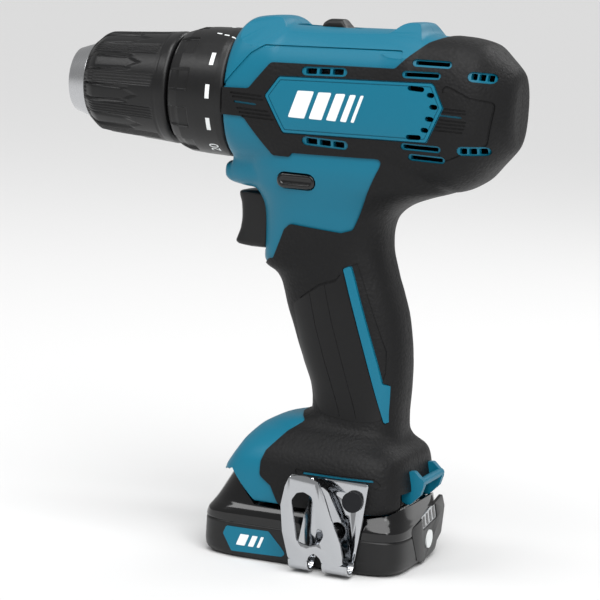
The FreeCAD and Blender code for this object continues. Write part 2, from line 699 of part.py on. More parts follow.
def barrel_form(inset):
    """The barrel: rounded sections along X, as (x, half width, top, bottom, corner)."""
    face = mm("face_x")
    tail = mm("tail_x")
    half = mm("barrel_half")
    axis_z = mm("axis_z")
    rows = (
        (face, half - 1.0, half - 1.0, half - 1.0, half - 2.0),
        (face + 2, half - 0.5, half + 1.5, half - 0.5, 22.0),
        (face + 10, half, half + 4.3, half + 0.5, 20.0),
        (face + 20, half, half + 3.4, half + 0.5, 20.0),
        (face + 24, half, half + 1.4, half + 0.5, 20.0),
        (tail - 50, half, half + 2.2, half + 0.5, 20.0),
        (tail - 43, half, half + 5.4, half + 1.0, 20.0),
        (tail - 38, half, half + 5.0, half + 3.0, 20.0),
        (tail - 34, half - 0.2, half + 0.6, half + 3.5, 20.0),
        (tail - 22, half - 0.5, half + 0.4, half + 3.0, 20.0),
        (tail - 13, half - 2.0, half - 1.0, half - 2.0, 18.0),
        (tail - 4, half - 6.0, half - 7.0, half - 12.0, 14.0),
        (tail, half - 13.0, half - 13.0, half - 18.5, 8.0),
    )
    wires = []
    for index, (x, wide, top, bottom, corner) in enumerate(rows):
        if index == len(rows) - 1:
            x = x - inset
        wires.append(round_rect(-wide + inset, wide - inset, axis_z - bottom + inset,
                                axis_z + top - inset, corner - inset / 2,
                                lambda u, v, x=x: Vector(x, u, v)))
    return loft(wires)


def chin_form(inset):
    """The chin under the torque ring that holds the lamp."""
    face = mm("face_x")
    low = mm("axis_z") - 36
    high = mm("axis_z") - mm("torque_r") - 0.8
    rows = (
        (face - 4.6 + inset, 8.0, low + 2.5, high, 2.5),
        (face + 0.1 + inset, 12.0, low + 0.5, high, 4.0),
        (face + 0.3 + inset, 12.5, low + 0.4, high + 5, 4.0),
        (face + 10, 17.0, low, high + 6, 6.0),
        (face + 24, 18.0, low - 1, high + 8, 6.0),
    )
    wires = []
    for x, wide, bottom, top, corner in rows:
        wires.append(round_rect(-wide + inset, wide - inset, bottom + inset, top - inset,
                                corner, lambda u, v, x=x: Vector(x, u, v)))
    return loft(wires)


def handle_form(inset):
    """The handle: rounded slices along Z, as (height, front, rear, half width)."""
    half = mm("handle_half")
    axis_z = mm("axis_z")
    low = mm("foot_top") - 3
    span = mm("grip_top") - low
    upper = (
        (axis_z - 20, -34.0, 30.0, half + 5),
        (axis_z - 30, -34.0, 26.5, half + 4),
        (axis_z - 36.5, -31.5, 23.5, half + 2.5),
        (axis_z - 44.5, -30.5, 20.8, half + 0.7),
        (axis_z - 55, -30.5, 19.2, half + 0.2),
    )
    lower = (
        (1.00, -30.0, 21.8, half + 0.2),
        (0.90, -23.0, 24.1, half + 0.2),
        (0.76, -19.8, 26.9, half),
        (0.59, -16.2, 29.2, half - 0.3),
        (0.44, -12.3, 30.2, half - 0.5),
        (0.29, -9.0, 30.5, half - 0.5),
        (0.14, -6.7, 30.3, half - 0.3),
        (0.00, -7.0, 30.0, half + 0.7),
    )
    rows = list(upper)
    for share, front, rear, wide in lower:
        rows.append((low + share * span, front, rear, wide))
    wires = []
    for z, front, rear, wide in reversed(rows):
        wires.append(round_rect(front + inset, rear - inset, -wide + inset, wide - inset,
                                12.0 - inset, lambda u, v, z=z: Vector(u, v, z)))
    return loft(wires)


def foot_form(inset):
    """The foot that the battery slides onto: a lower part with a slanted front, and the part above."""
    deck = mm("deck_z")
    half = mm("foot_half")
    rear = mm("pack_rear")
    lower = (
        (deck - 0.2 + 0.3, -18.9, rear - 7.5, half - 1.0),
        (deck + 4.8, -23.6, rear - 1.7, half),
        (deck + 11.2, -30.2, rear - 2.2, half),
    )
    upper = (
        (deck + 11.2, -39.5, rear - 2.2, half),
        (deck + 13.6, -37.6, rear - 3.0, half),
        (deck + 19.6, -32.4, rear - 4.6, half - 2.5),
        (deck + 25.8, -26.7, rear - 6.4, half - 8.0),
        (deck + 31.5, -18.0, rear - 9.5, half - 12.5),
        (deck + 34.6, -7.5, rear - 10.3, half - 13.5),
    )
    solids = []
    for rows in (lower, upper):
        wires = []
        last = len(rows) - 1
        for index, (z, front, back, wide) in enumerate(rows):
            if rows is lower and index == 0:
                z = z + inset
            if rows is upper and index == 0:
                z = z + inset
            if rows is upper and index == last:
                z = z - inset
            if rows is lower and index == last:
                z = z + inset
            wires.append(round_rect(front + inset, back - inset, -wide + inset, wide - inset,
                                    7.0, lambda u, v, z=z: Vector(u, v, z)))
        solids.append(loft(wires))
    return solids[0].fuse(solids[1])


def outer_form(inset):
    shape = barrel_form(inset)
    for extra in (handle_form(inset), foot_form(inset), chin_form(inset)):
        shape = shape.fuse(extra)
    return shape


def side_prism(points):
    """A prism through the whole width from an (x, z) outline."""
    corners = [Vector(x, -60, z) for x, z in points]
    return Part.Face(Part.makePolygon(corners + corners[:1])).extrude(Vector(0, 120, 0))


def grip_region():
    """The part of the outside that the overmould covers: handle and rear cap."""
    tail = mm("tail_x")
    axis_z = mm("axis_z")
    foot_top = mm("foot_top")
    return side_prism([
        (tail - 34, axis_z + 60), (tail + 20, axis_z + 60), (tail + 20, axis_z - 70),
        (45, foot_top + 10), (45, foot_top + 1), (2, foot_top + 1), (-2, foot_top + 18),
        (-12, axis_z - 77), (-6, axis_z - 66), (8, axis_z - 62), (12, axis_z - 45),
        (19, axis_z - 28), (tail - 34, axis_z - 20),
    ])


def screw_spots():
    """Where the housing screws go, as (x, z)."""
    tail = mm("tail_x")
    axis_z = mm("axis_z")
    top = mm("barrel_half") - 0.5
    foot_top = mm("foot_top")
    return (
        (mm("face_x") + 10.6, axis_z + top), (tail - 42.5, axis_z + top + 0.8),
        (mm("face_x") + 11, axis_z - mm("barrel_half") - 0.8), (tail - 24, axis_z - mm("barrel_half") + 1.4),
        (10, axis_z - 82), (2, foot_top + 7), (-24, mm("deck_z") + 19), (27, mm("deck_z") + 19),
    )


def y_rod(radius, y_low, y_high, x, z):
    return Part.makeCylinder(radius, y_high - y_low, Vector(x, y_low, z), Vector(0, 1, 0))


def make_housing():
    full = outer_form(0.0)
    middle = outer_form(mm("grip_skin"))
    inner = outer_form(mm("shell_wall"))
    axis_z = mm("axis_z")
    face = mm("face_x")
    deck = mm("deck_z")
    grip = full.common(grip_region()).cut(middle)

    ribs = []
    rib_rows = (
        (mm("case_wall_front") + 3, 3.0, mm("case_r") + 0.05),
        (mm("motor_face") - 8, 3.0, mm("case_r") + 0.05),
        (mm("motor_face") + 6, 2.0, mm("motor_r") + 0.05),
        (mm("motor_face") + mm("motor_len") - 12, 2.0, mm("motor_r") + 0.05),
    )
    for x, thick, radius in rib_rows:
        rib = Part.makeBox(thick, 120, 79, Vector(x, -60, axis_z - 34))
        ribs.append(rib.cut(x_rod(radius, x - 1, x + thick + 1, 0, axis_z)))
    for x, z in screw_spots():
        ribs.append(y_rod(3.3, -60, 60, x, z))
    switch_cradle = Part.makeBox(3, 120, 3, Vector(0, -60, mm("switch_bottom") - 3.1))
    ribs.append(switch_cradle)
    block_shelf = Part.makeBox(10, 120, 2, Vector(17, -60, mm("rail_top") + 5.6))
    ribs.append(block_shelf)
    stiff = ribs[0]
    for rib in ribs[1:]:
        stiff = stiff.fuse(rib)
    stiff = stiff.common(inner)

    # everything that passes through the shells
    holes = [
        x_rod(mm("mouth_r"), face - 10, face + 14, 0, axis_z),
        Part.makeBox(20, 2 * mm("trigger_half") + 1, mm("trigger_top") - mm("trigger_bottom") + 1,
                     Vector(-44, -mm("trigger_half") - 0.5, mm("trigger_bottom") - 0.5)),
        Part.makeBox(24, 12, 30, Vector((mm("ring_b_front") + mm("ring_b_rear")) / 2 - 8, -6, axis_z + mm("case_r") - 3)),
        x_rod(3.3, face - 6, face + 12, 0, axis_z - 30.2),
    ]
    lever = Part.makeBox(9.8, 120, 6.6, Vector(-17.5, -60, axis_z - 33.6))
    holes += [lever, y_rod(3.3, -60, 60, -17.5, axis_z - 30.3), y_rod(3.3, -60, 60, -7.7, axis_z - 30.3)]
    rail = mm("rail_half") + 0.4
    holes.append(Part.makeBox(80, 2 * rail, mm("rail_top") + 0.4 - deck + 5, Vector(-45, -rail, deck - 5)))
    holes += loop_plates()
    hole = holes[0]
    for extra in holes[1:]:
        hole = hole.fuse(extra)
    shell = full.cut(grip).cut(inner)
    # a deck over the battery's rail keeps the foot closed
    roof = Part.makeBox(90, 120, 2.4, Vector(-60, -60, mm("rail_top") + 0.4)).common(inner)
    cheeks = Part.makeBox(90, 120, mm("rail_top") + 0.4 - deck, Vector(-60, -60, deck))
    cheeks = cheeks.cut(Part.makeBox(90, 2 * rail + 4, 60, Vector(-60, -rail - 2, deck - 10)))
    shell = shell.fuse(stiff).fuse(roof).fuse(cheeks.common(inner)).cut(hole)

    keys_x, keys_z = 22.4, deck + 6.8
    boss = y_rod(4.5, -mm("pack_half") - 0.6, -mm("foot_half") + 4, keys_x, keys_z)
    for side, label in ((-1, "left"), (1, "right")):
        half_space = Part.makeBox(400, 100, 400, Vector(-200, -100 if side < 0 else 0, -50))
        half = shell.common(half_space)
        for x, z in screw_spots():
            if side > 0:
                half = half.cut(y_rod(mm("screw_r") + 0.1, -1, 60, x, z))
                half = half.cut(y_rod(2.9, 8, 60, x, z))
            else:
                half = half.cut(y_rod(mm("screw_r"), -9.5, 1, x, z))
        if side < 0:
            half = half.fuse(boss).cut(y_rod(1.7, -50, -mm("foot_half") + 6, keys_x, keys_z))
        keep(computed("housing_" + label, biggest(half)), "housing_" + label)
        cover = grip.common(half_space)
        if side > 0:
            for x, z in screw_spots():
                cover = cover.cut(y_rod(2.9, 8, 60, x, z))
        keep(computed("grip_" + label, biggest(cover)), "grip_" + label)

    screws = []
    for x, z in screw_spots():
        screw = y_rod(mm("screw_r"), -9.0, 8.0, x, z).fuse(y_rod(2.7, 8.0, 10.0, x, z))
        screws.append(screw)
    keep(computed("housing_screws", Part.makeCompound(screws)), "housing_screws")

    clip_screw = y_rod(1.7, -mm("pack_half") - 0.6 - mm("clip_wall"), -mm("foot_half") + 5, keys_x, keys_z)
    head_y = -mm("pack_half") - 0.6 - mm("clip_wall")
    clip_screw = clip_screw.fuse(y_rod(4.0, head_y - 1.8, head_y, keys_x, keys_z))
    keep(computed("clip_screw", clip_screw), "clip_screw")


def biggest(shape):
    """The largest solid of a boolean's result."""
    return max(shape.Solids, key=lambda solid: solid.Volume)


# ---------------------------------------------------------------------------------------------
# Switch, trigger, lever and lamp
# ---------------------------------------------------------------------------------------------
def make_controls():
    place("switch_front", "-19.6")
    box = block("switch_box", "27.6", "2 * switch_half", "switch_top - switch_bottom", "switch_front",
                "-switch_half", "switch_bottom")
    bore = rod("plunger_bore", "2.6", "17", "switch_front - 1", "0", "axis_z - 48")
    keep(cut("switch_cut", box, bore), "switch_body")

    height = "axis_z - 48"
    front = plate("trigger_front", [
        ("-42.6", "trigger_top"), ("-41.2", height + " + 6"), ("-40.7", height), ("-41.0", height + " - 6"),
        ("-42.8", "trigger_bottom"), ("-28", "trigger_bottom"), ("-27", "trigger_top"),
    ], "-trigger_half", "2 * trigger_half")
    pocket = block("trigger_pocket", "9", "2 * trigger_half - 4", "15", "-36", "-trigger_half + 2",
                   height + " - 8")
    shell = cut("trigger_shell", front, pocket)
    plunger = rod("trigger_plunger", "2.5", "25", "-37", "0", height)
    keep(joined("trigger_whole", [shell, plunger]), "trigger")
    spring = coil(3.9, 0.5, mm("switch_front") - 0.6 + 35.3, 6)
    keep(computed("trigger_spring", spring,
                  Placement(Vector(-35.4, 0, mm("axis_z") - 48), Rotation(Vector(0, 1, 0), 90))), "trigger_spring")

    bar = block("lever_bar", "9.8", "2 * (handle_half + 7)", "6", "-17.5", "-handle_half - 7", "axis_z - 33.3")
    ends = [rod("lever_end_%d" % index, "3", "2 * (handle_half + 7)", x, "-handle_half - 7",
                "axis_z - 30.3", "y") for index, x in enumerate(("-17.5", "-7.7"))]
    keep(joined("lever_whole", [bar] + ends), "direction_lever")
    keep(rod("lamp", "3.2", "5", "face_x - 5", "0", "axis_z - 30.2"), "led_lens")


# ---------------------------------------------------------------------------------------------
# Battery pack, contacts and latch
# ---------------------------------------------------------------------------------------------
def pack_slab(z_low, z_high, inset, corner):
    """A slab of the pack's footprint."""
    wires = []
    for z in (z_low, z_high):
        wires.append(round_rect(mm("pack_front") + inset, mm("pack_rear") - inset, -mm("pack_half") + inset,
                                mm("pack_half") - inset, corner, lambda u, v, z=z: Vector(u, v, z)))
    return loft(wires)


def make_battery():
    deck = mm("deck_z")
    split = mm("split_z")
    side = mm("case_side")
    half = mm("pack_half")
    front = mm("pack_front")
    rear = mm("pack_rear")
    lower = pack_slab(0, split, 0, 7).cut(pack_slab(mm("case_floor") - 0.1, split + 1, side, 5))
    keep(computed("battery_case_lower", lower), "battery_case_lower")

    nose = side_prism([
        (front, split), (front + 0.7, split + 2.6), (front + 4.7, split + 10.3), (front + 8.4, deck + 9.8),
        (front + 10.8, deck + 10.3), (-19.9, deck - 0.4), (-19.9, split),
    ])
    nose = nose.common(Part.makeBox(200, 2 * half - 6, 60, Vector(-100, -half + 3, 0)))
    slab = pack_slab(split, deck - 0.3, 0, 7)
    upper = slab.fuse(nose)
    rail_front = -20.0
    rail_rear = 21.5
    rail = Part.makeBox(rail_rear - rail_front, 2 * mm("rail_half"), mm("rail_z"),
                        Vector(rail_front, -mm("rail_half"), deck))
    rail = rail.fuse(Part.makeBox(rail_rear - rail_front, 2 * mm("rail_half"), 1, Vector(rail_front, -mm("rail_half"), deck - 0.6)))
    upper = upper.fuse(rail)
    upper = upper.cut(pack_slab(split - 1, deck - mm("case_roof") - 0.2, side, 5))
    hollow = Part.makeBox(37, 2 * mm("rail_half") - 4, mm("rail_z") - 3, Vector(-17, -mm("rail_half") + 2, deck + 1))
    upper = upper.cut(hollow)
    for y in (-10, -3.5, 3.5, 10):
        slot = Part.makeBox(14, 1.6, mm("rail_z") - 2.4, Vector(9, y - 0.8, deck + 1.0))
        upper = upper.cut(slot)
    button_low = deck - 1.0
    pocket = Part.makeBox(11.5, 23, 20, Vector(front, -11.5, button_low - 0.3))
    upper = upper.cut(pocket)
    button_y, button_z = 7.8, 9.3
    keep(computed("battery_case_upper", biggest(upper)), "battery_case_upper")

    # the release button fills the pocket in the sloping nose
    button = side_prism([
        (front + 3.2, button_low), (front + 4.6, button_low + 3), (front + 7.4, deck + 8.2),
        (front + 8.6, deck + 8.2), (front + 8.6, button_low),
    ])
    button = button.common(Part.makeBox(200, 22, 60, Vector(-100, -11, 0)))
    keep(computed("latch_button", button), "latch_button")

    cells = []
    for index in (-1, 0, 1):
        y = index * (mm("cell_d") + 0.3)
        cells.append(x_rod(mm("cell_d") / 2, -mm("cell_len") / 2, mm("cell_len") / 2, y,
                           mm("case_floor") + mm("cell_d") / 2))
    keep(computed("battery_cells", Part.makeCompound(cells)), "battery_cells")

    board = Part.makeBox(24, 2 * mm("rail_half") - 6, 1.2, Vector(-16.5, -mm("rail_half") + 3, deck + 1.2))
    for y in (-10, -3.5, 3.5, 10):
        for leaf in (-1, 1):
            clip = Part.makeBox(12, 0.3, 3.5, Vector(6.5, y - 0.15 + leaf * 0.6, deck + 2.4))
            clip = clip.fuse(Part.makeBox(1.0, 0.3, 1.5, Vector(6.5, y - 0.15 + leaf * 0.6, deck + 1.2)))
            board = board.fuse(clip)
    keep(computed("battery_board", biggest(board)), "battery_board")
    keep(computed("gauge_button", x_rod(3.6, rear - side - 1.5, rear + 0.4, button_y, button_z)), "gauge_button")
    hole = x_rod(3.8, rear - side - 1, rear + 2, button_y, button_z)
    lower_item = [item for item in finished if item.Label == "battery_case_lower"][0]
    lower_item.Shape = lower_item.Shape.cut(hole)

    holder = Part.makeBox(8, 2 * mm("rail_half") - 2, mm("rail_z") - 2.2, Vector(22, -mm("rail_half") + 1, deck + 1.2))
    for y in (-10, -3.5, 3.5, 10):
        holder = holder.fuse(Part.makeBox(12, 0.8, 3.2, Vector(10.5, y - 0.4, deck + 2.6)))
    keep(computed("terminal_block", holder), "terminal_block")


def loop_plates():
    """The two ends of the strap loop, which the shells grip."""
    return [Part.makeBox(6.4, 3, 7.6, Vector(mm("pack_rear") - 5.2, y, mm("deck_z") + 9.2)) for y in (-11.5, 11.5)]


def make_clip_and_loop():
    deck = mm("deck_z")
    inner_y = -mm("pack_half") - 0.6
    thick = mm("clip_wall")
    outer_y = inner_y - 9.0
    bend = 4.5
    mid_y = (inner_y + outer_y) / 2
    bend_z = bend + thick / 2 + 0.4

    top = deck + 16

    def leaf(points, y_low, depth):
        """A flat leaf; heights are shares of the clip's height, so that it follows the pack."""
        corners = [Vector(x, y_low, max(share * top, bend_z)) for x, share in points]
        return Part.Face(Part.makePolygon(corners + corners[:1])).extrude(Vector(0, depth, 0))

    inner = leaf([(7, 0), (24.4, 0), (25.8, 0.44), (26.7, 0.633), (28.1, 0.922), (6.5, 0.922)],
                 inner_y - thick, thick)
    outer = leaf([(3, 0), (22.4, 0), (22, 0.26), (20.5, 0.391), (16.8, 0.589), (13.4, 0.807), (10.1, 0.958),
                  (6.7, 1), (-1.2, 0.971), (-2.7, 0.867), (-4.1, 0.672), (-2.7, 0.406), (0.2, 0)], outer_y, thick)
    slot = leaf([(-0.3, 0.734), (3.2, 0.828), (8.7, 0.784), (14.4, 0.409), (11.7, 0.318), (3.3, 0.339)],
                outer_y - 1, thick + 2)
    outer_r = (inner_y - outer_y) / 2
    tube = Part.makeCylinder(outer_r, 19.4, Vector(3, mid_y, bend_z), Vector(1, 0, 0))
    tube = tube.cut(Part.makeCylinder(outer_r - thick, 30, Vector(0, mid_y, bend_z), Vector(1, 0, 0)))
    tube = tube.common(Part.makeBox(60, 40, 20, Vector(-20, mid_y - 20, bend_z - 20)))
    tube = tube.cut(Part.makeBox(7, 20, 20, Vector(7, mid_y - 10, bend_z - 21)))
    clip = outer.cut(slot).fuse(tube).fuse(inner)
    clip = clip.cut(y_rod(1.8, inner_y - 5, inner_y + 1, 22.4, deck + 6.8))
    keep(computed("belt_clip", clip), "belt_clip")

    loop = y_rod(1.7, -11.5, 14.5, mm("pack_rear") + 0.9, deck + 12.6)
    for plate_box in loop_plates():
        loop = loop.fuse(plate_box)
    keep(computed("strap_loop", loop), "strap_loop")


make_chuck()
make_spindle()
make_clutch()
make_gear_case()
make_gear_train()
make_speed_selector()
make_motor()
make_housing()
make_controls()
make_battery()
make_clip_and_loop()
doc.recompute()

for item in doc.Objects:
    if "Invalid" in item.State or "Error" in item.State:
        raise RuntimeError("%s failed: %s" % (item.Label, item.State))
os.makedirs("parts", exist_ok=True)
for item in finished:
    if item.Shape.isNull() or not item.Shape.isValid():
        raise RuntimeError("%s has no valid shape" % item.Label)
for item in finished:
    item.Shape.exportStep("parts/%s.step" % item.Label)
print("%d sub-parts" % len(finished))
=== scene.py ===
"""Cordless drill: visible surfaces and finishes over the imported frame."""

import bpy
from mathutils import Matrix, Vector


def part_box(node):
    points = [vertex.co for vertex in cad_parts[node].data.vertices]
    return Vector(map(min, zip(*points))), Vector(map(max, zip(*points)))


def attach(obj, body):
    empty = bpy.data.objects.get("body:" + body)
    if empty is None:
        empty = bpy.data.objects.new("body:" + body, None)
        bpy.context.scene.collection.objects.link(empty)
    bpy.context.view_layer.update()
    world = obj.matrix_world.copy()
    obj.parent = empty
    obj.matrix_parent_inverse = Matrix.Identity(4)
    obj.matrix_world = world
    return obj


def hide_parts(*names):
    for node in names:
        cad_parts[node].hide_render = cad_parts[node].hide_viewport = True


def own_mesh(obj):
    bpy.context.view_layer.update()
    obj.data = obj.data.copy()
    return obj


bl_info = {
    "name": "Cordless Drill Looks",
    "version": (1, 0, 0),
    "blender": (4, 5, 0),
    "location": "3D View > Sidebar > Drill",
    "description": "Builds the drill's shells, grips and finishes on its packed frame",
    "category": "Object",
}

import math

import bmesh
import bpy
import numpy as np
from mathutils import Matrix, Vector

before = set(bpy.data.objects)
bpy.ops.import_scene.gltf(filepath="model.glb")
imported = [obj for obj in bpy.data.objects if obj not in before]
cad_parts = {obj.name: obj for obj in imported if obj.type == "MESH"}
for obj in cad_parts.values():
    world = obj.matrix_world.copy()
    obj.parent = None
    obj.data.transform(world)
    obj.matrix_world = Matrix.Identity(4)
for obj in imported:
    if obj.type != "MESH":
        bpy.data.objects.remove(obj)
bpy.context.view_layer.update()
MM = 0.001


def span(node):
    """A node's low and high corners in millimetres."""
    low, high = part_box(node)
    return np.array(low) / MM, np.array(high) / MM


SLEEVE_LOW, SLEEVE_HIGH = span("chuck_sleeve")
RING_LOW, RING_HIGH = span("torque_ring")
AXIS_Z = (SLEEVE_LOW[2] + SLEEVE_HIGH[2]) / 2
FACE_X = RING_HIGH[0] + 0.4
TAIL_X = span("grip_left")[1][0]
PACK_LOW, PACK_HIGH = span("battery_case_lower")
SPLIT_Z = PACK_HIGH[2]
DECK_Z = SPLIT_Z + 8.4


# ---------------------------------------------------------------------------------------------
# Settings
# ---------------------------------------------------------------------------------------------
class DrillSizes(bpy.types.PropertyGroup):
    voxel: bpy.props.FloatProperty(
        name="Surface grain", description="Edge length of the joined shell surface", default=0.85 * MM,
        min=0.4 * MM, max=3 * MM, unit="LENGTH")
    skin_proud: bpy.props.FloatProperty(
        name="Overmould proud", description="How far the rubber stands over the nominal outside",
        default=0.2 * MM, unit="LENGTH")
    shell_back: bpy.props.FloatProperty(
        name="Shell back", description="How far the hard shell lies under the nominal outside",
        default=0.5 * MM, unit="LENGTH")
    wall: bpy.props.FloatProperty(
        name="Shell wall", description="Thickness of the hard shell", default=2.6 * MM, unit="LENGTH")


class DrillColours(bpy.types.PropertyGroup):
    shell: bpy.props.StringProperty(name="Shell", description="Moulded shell colour, sRGB hex",
                                    default="006983")
    rubber: bpy.props.StringProperty(name="Rubber", description="Overmould colour, sRGB hex",
                                     default="0E0E0F")
    plastic: bpy.props.StringProperty(name="Plastic", description="Black plastic colour, sRGB hex",
                                      default="0C0C0D")
    marks: bpy.props.StringProperty(name="Marks", description="Printed marks, sRGB hex", default="E9ECEC")


class DrillStage(bpy.types.PropertyGroup):
    azimuth: bpy.props.FloatProperty(
        name="Azimuth", description="Camera angle about Z", default=math.radians(20.70), subtype="ANGLE")
    elevation: bpy.props.FloatProperty(
        name="Elevation", description="Camera angle above level", default=math.radians(8.09), subtype="ANGLE")
    roll: bpy.props.FloatProperty(
        name="Roll", description="Camera tilt about its own axis", default=math.radians(3.58),
        subtype="ANGLE")
    distance: bpy.props.FloatProperty(
        name="Distance", description="Camera to the middle of the tool", default=0.979, unit="LENGTH")
    lens: bpy.props.FloatProperty(name="Lens", description="Focal length in millimetres", default=149.9)


def sizes():
    """The size settings of the scene."""
    return bpy.context.scene.drill_sizes


def colours():
    """The colour settings of the scene."""
    return bpy.context.scene.drill_colours


# ---------------------------------------------------------------------------------------------
# Materials
# ---------------------------------------------------------------------------------------------
def linear(text):
    """An sRGB hex colour as linear red, green, blue and alpha."""
    parts = [int(text[at:at + 2], 16) / 255 for at in (0, 2, 4)]
    lin = [part / 12.92 if part <= 0.04045 else ((part + 0.055) / 1.055) ** 2.4 for part in parts]
    return (*lin, 1.0)


def add(material, kind, links=(), **settings):
    """Adds a node; settings name inputs or properties, links are (from socket, input name)."""
    node = material.node_tree.nodes.new(kind)
    for name, value in settings.items():
        if hasattr(node, name):
            setattr(node, name, value)
        else:
            node.inputs[name.replace("_", " ")].default_value = value
    for source, name in links:
        material.node_tree.links.new(source, node.inputs[name])
    return node


def new_material(name, colour, roughness, metallic=0.0, ior=None, **shader):
    """A material with its principled shader; returns both."""
    material = bpy.data.materials.new(name)
    material.use_nodes = True
    principled = material.node_tree.nodes["Principled BSDF"]
    principled.inputs["Base Color"].default_value = linear(colour)
    principled.inputs["Roughness"].default_value = roughness
    principled.inputs["Metallic"].default_value = metallic
    if ior:
        principled.inputs["IOR"].default_value = ior
    for socket, value in shader.items():
        principled.inputs[socket.replace("_", " ")].default_value = value
    return material, principled


def link(material, socket, principled, name):
    """Joins a node's output to an input of the principled shader."""
    material.node_tree.links.new(socket, principled.inputs[name])


def grain(material, principled, size_mm, depth_mm, kind="noise", roughness=None, stretch=(1, 1, 1)):
    """Surface relief of a real grain size, and the roughness change that goes with it."""
    place = add(material, "ShaderNodeTexCoord")
    mapping = add(material, "ShaderNodeMapping", [(place.outputs["Object"], "Vector")], Scale=stretch)
    if kind == "leather":
        texture = add(material, "ShaderNodeTexVoronoi", [(mapping.outputs["Vector"], "Vector")],
                      Scale=1 / (size_mm * MM), feature="SMOOTH_F1")
        height = texture.outputs["Distance"]
    else:
        texture = add(material, "ShaderNodeTexNoise", [(mapping.outputs["Vector"], "Vector")],
                      Scale=1 / (size_mm * MM), Detail=3.0)
        height = texture.outputs["Fac"]
    bump = add(material, "ShaderNodeBump", [(height, "Height")], Strength=1.0, Distance=depth_mm * MM)
    link(material, bump.outputs["Normal"], principled, "Normal")
    if roughness:
        ramp = add(material, "ShaderNodeMapRange", [(height, "Value")], **{"To_Min": roughness[0],
                                                                          "To_Max": roughness[1]})
        link(material, ramp.outputs["Result"], principled, "Roughness")
    return material


def material(name):
    """The named finish, made once."""
    if name in bpy.data.materials:
        return bpy.data.materials[name]
    return FINISHES[name](name)


def shell_nylon(name):
    # Glass-filled nylon with a fine spark-eroded texture: an even satin, a little bright at edges
    made, shader = new_material(name, colours().shell, 0.42, ior=1.53, Specular_IOR_Level=0.3)
    return grain(made, shader, 0.7, 0.02, roughness=(0.36, 0.5))


def overmould_rubber(name):
    # Thermoplastic rubber with a pebbled mould grain: matte, with small soft highlights
    made, shader = new_material(name, colours().rubber, 0.55, ior=1.5, Specular_IOR_Level=0.25)
    return grain(made, shader, 1.1, 0.16, kind="leather", roughness=(0.5, 0.66))


def smooth_rubber(name):
    # The same rubber from a smooth part of the mould: silky
    made, shader = new_material(name, "0C0C0D", 0.42, ior=1.5, Specular_IOR_Level=0.3)
    return grain(made, shader, 0.8, 0.015, roughness=(0.38, 0.48))


def satin_abs(name):
    # Moulded ABS, lightly etched
    made, shader = new_material(name, colours().plastic, 0.34, ior=1.54, Specular_IOR_Level=0.35)
    return grain(made, shader, 0.5, 0.012, roughness=(0.33, 0.45))


def glossy_abs(name):
    # Polished black ABS: sharp reflections that waver slightly with the sink of the wall
    made, shader = new_material(name, "060607", 0.1, ior=1.54, Specular_IOR_Level=0.45)
    return grain(made, shader, 9.0, 0.02, roughness=(0.08, 0.16))


def chuck_nylon(name):
    # Black glass-filled nylon of the sleeve and ring: satin with faint flow marks
    made, shader = new_material(name, "0D0D0E", 0.34, ior=1.53, Specular_IOR_Level=0.35)
    return grain(made, shader, 1.2, 0.015, roughness=(0.3, 0.44))


def printed_white(name):
    # Pad-printed ink: thin, flat white
    made, shader = new_material(name, colours().marks, 0.5, ior=1.5)
    return grain(made, shader, 0.3, 0.004, roughness=(0.45, 0.6))


def turned_steel(name):
    # Turned mild steel: fine circular tool marks about the spindle, seen as rings of shine
    made, shader = new_material(name, "B9BABC", 0.28, metallic=1.0)
    return grain(made, shader, 0.35, 0.006, roughness=(0.2, 0.36), stretch=(1, 0.05, 0.05))


def bright_chrome(name):
    # Nickel-chrome plate on pressed spring steel: mirror with slight waviness
    made, shader = new_material(name, "B9BBBE", 0.06, metallic=1.0)
    return grain(made, shader, 12.0, 0.05, roughness=(0.05, 0.12))


def sintered_steel(name):
    # Sintered gear steel: dull grey, finely porous
    made, shader = new_material(name, "7C7D80", 0.45, metallic=1.0)
    return grain(made, shader, 0.3, 0.01, roughness=(0.38, 0.55))


def oiled_steel(name):
    # Dark oiled steel of jaws, nut, can and core
    made, shader = new_material(name, "2E2F31", 0.35, metallic=1.0)
    return grain(made, shader, 0.4, 0.008, roughness=(0.28, 0.45))


def die_cast(name):
    # Die-cast alloy: pale grey with a soft mottled skin
    made, shader = new_material(name, "A6A8AA", 0.48, metallic=1.0)
    return grain(made, shader, 1.5, 0.02, roughness=(0.4, 0.6))


def copper_wire(name):
    # Enamelled copper: orange metal under clear varnish, banded at the wire pitch of 0.6 mm
    made, shader = new_material(name, "B4683A", 0.3, metallic=1.0)
    return grain(made, shader, 0.6, 0.08, roughness=(0.22, 0.4), stretch=(0.1, 1, 1))


def ferrite(name):
    # Pressed ferrite and carbon: dark, matte, slightly granular
    made, shader = new_material(name, "2A2A2C", 0.7, ior=1.8)
    return grain(made, shader, 0.4, 0.02, roughness=(0.6, 0.8))


def circuit_board(name):
    # Glass-epoxy board under green solder mask
    made, shader = new_material(name, "1C5230", 0.35, ior=1.55)
    return grain(made, shader, 1.0, 0.01, roughness=(0.3, 0.42))


def cell_sleeve(name):
    # Shrink sleeve on the cells: glossy PVC
    made, shader = new_material(name, "2F7F5F", 0.25, ior=1.53)
    return grain(made, shader, 5.0, 0.02, roughness=(0.2, 0.32))


def clear_lens(name):
    # Clear polycarbonate over the lamp
    made, shader = new_material(name, "F2F4F6", 0.06, ior=1.585, Transmission_Weight=0.7)
    return grain(made, shader, 2.0, 0.005, roughness=(0.04, 0.1))


def silver_paint(name):
    # Silver paint behind the gauge window: metallic flake in clear lacquer
    made, shader = new_material(name, "C2C4C6", 0.35, metallic=0.7)
    return grain(made, shader, 0.3, 0.004, roughness=(0.28, 0.42))


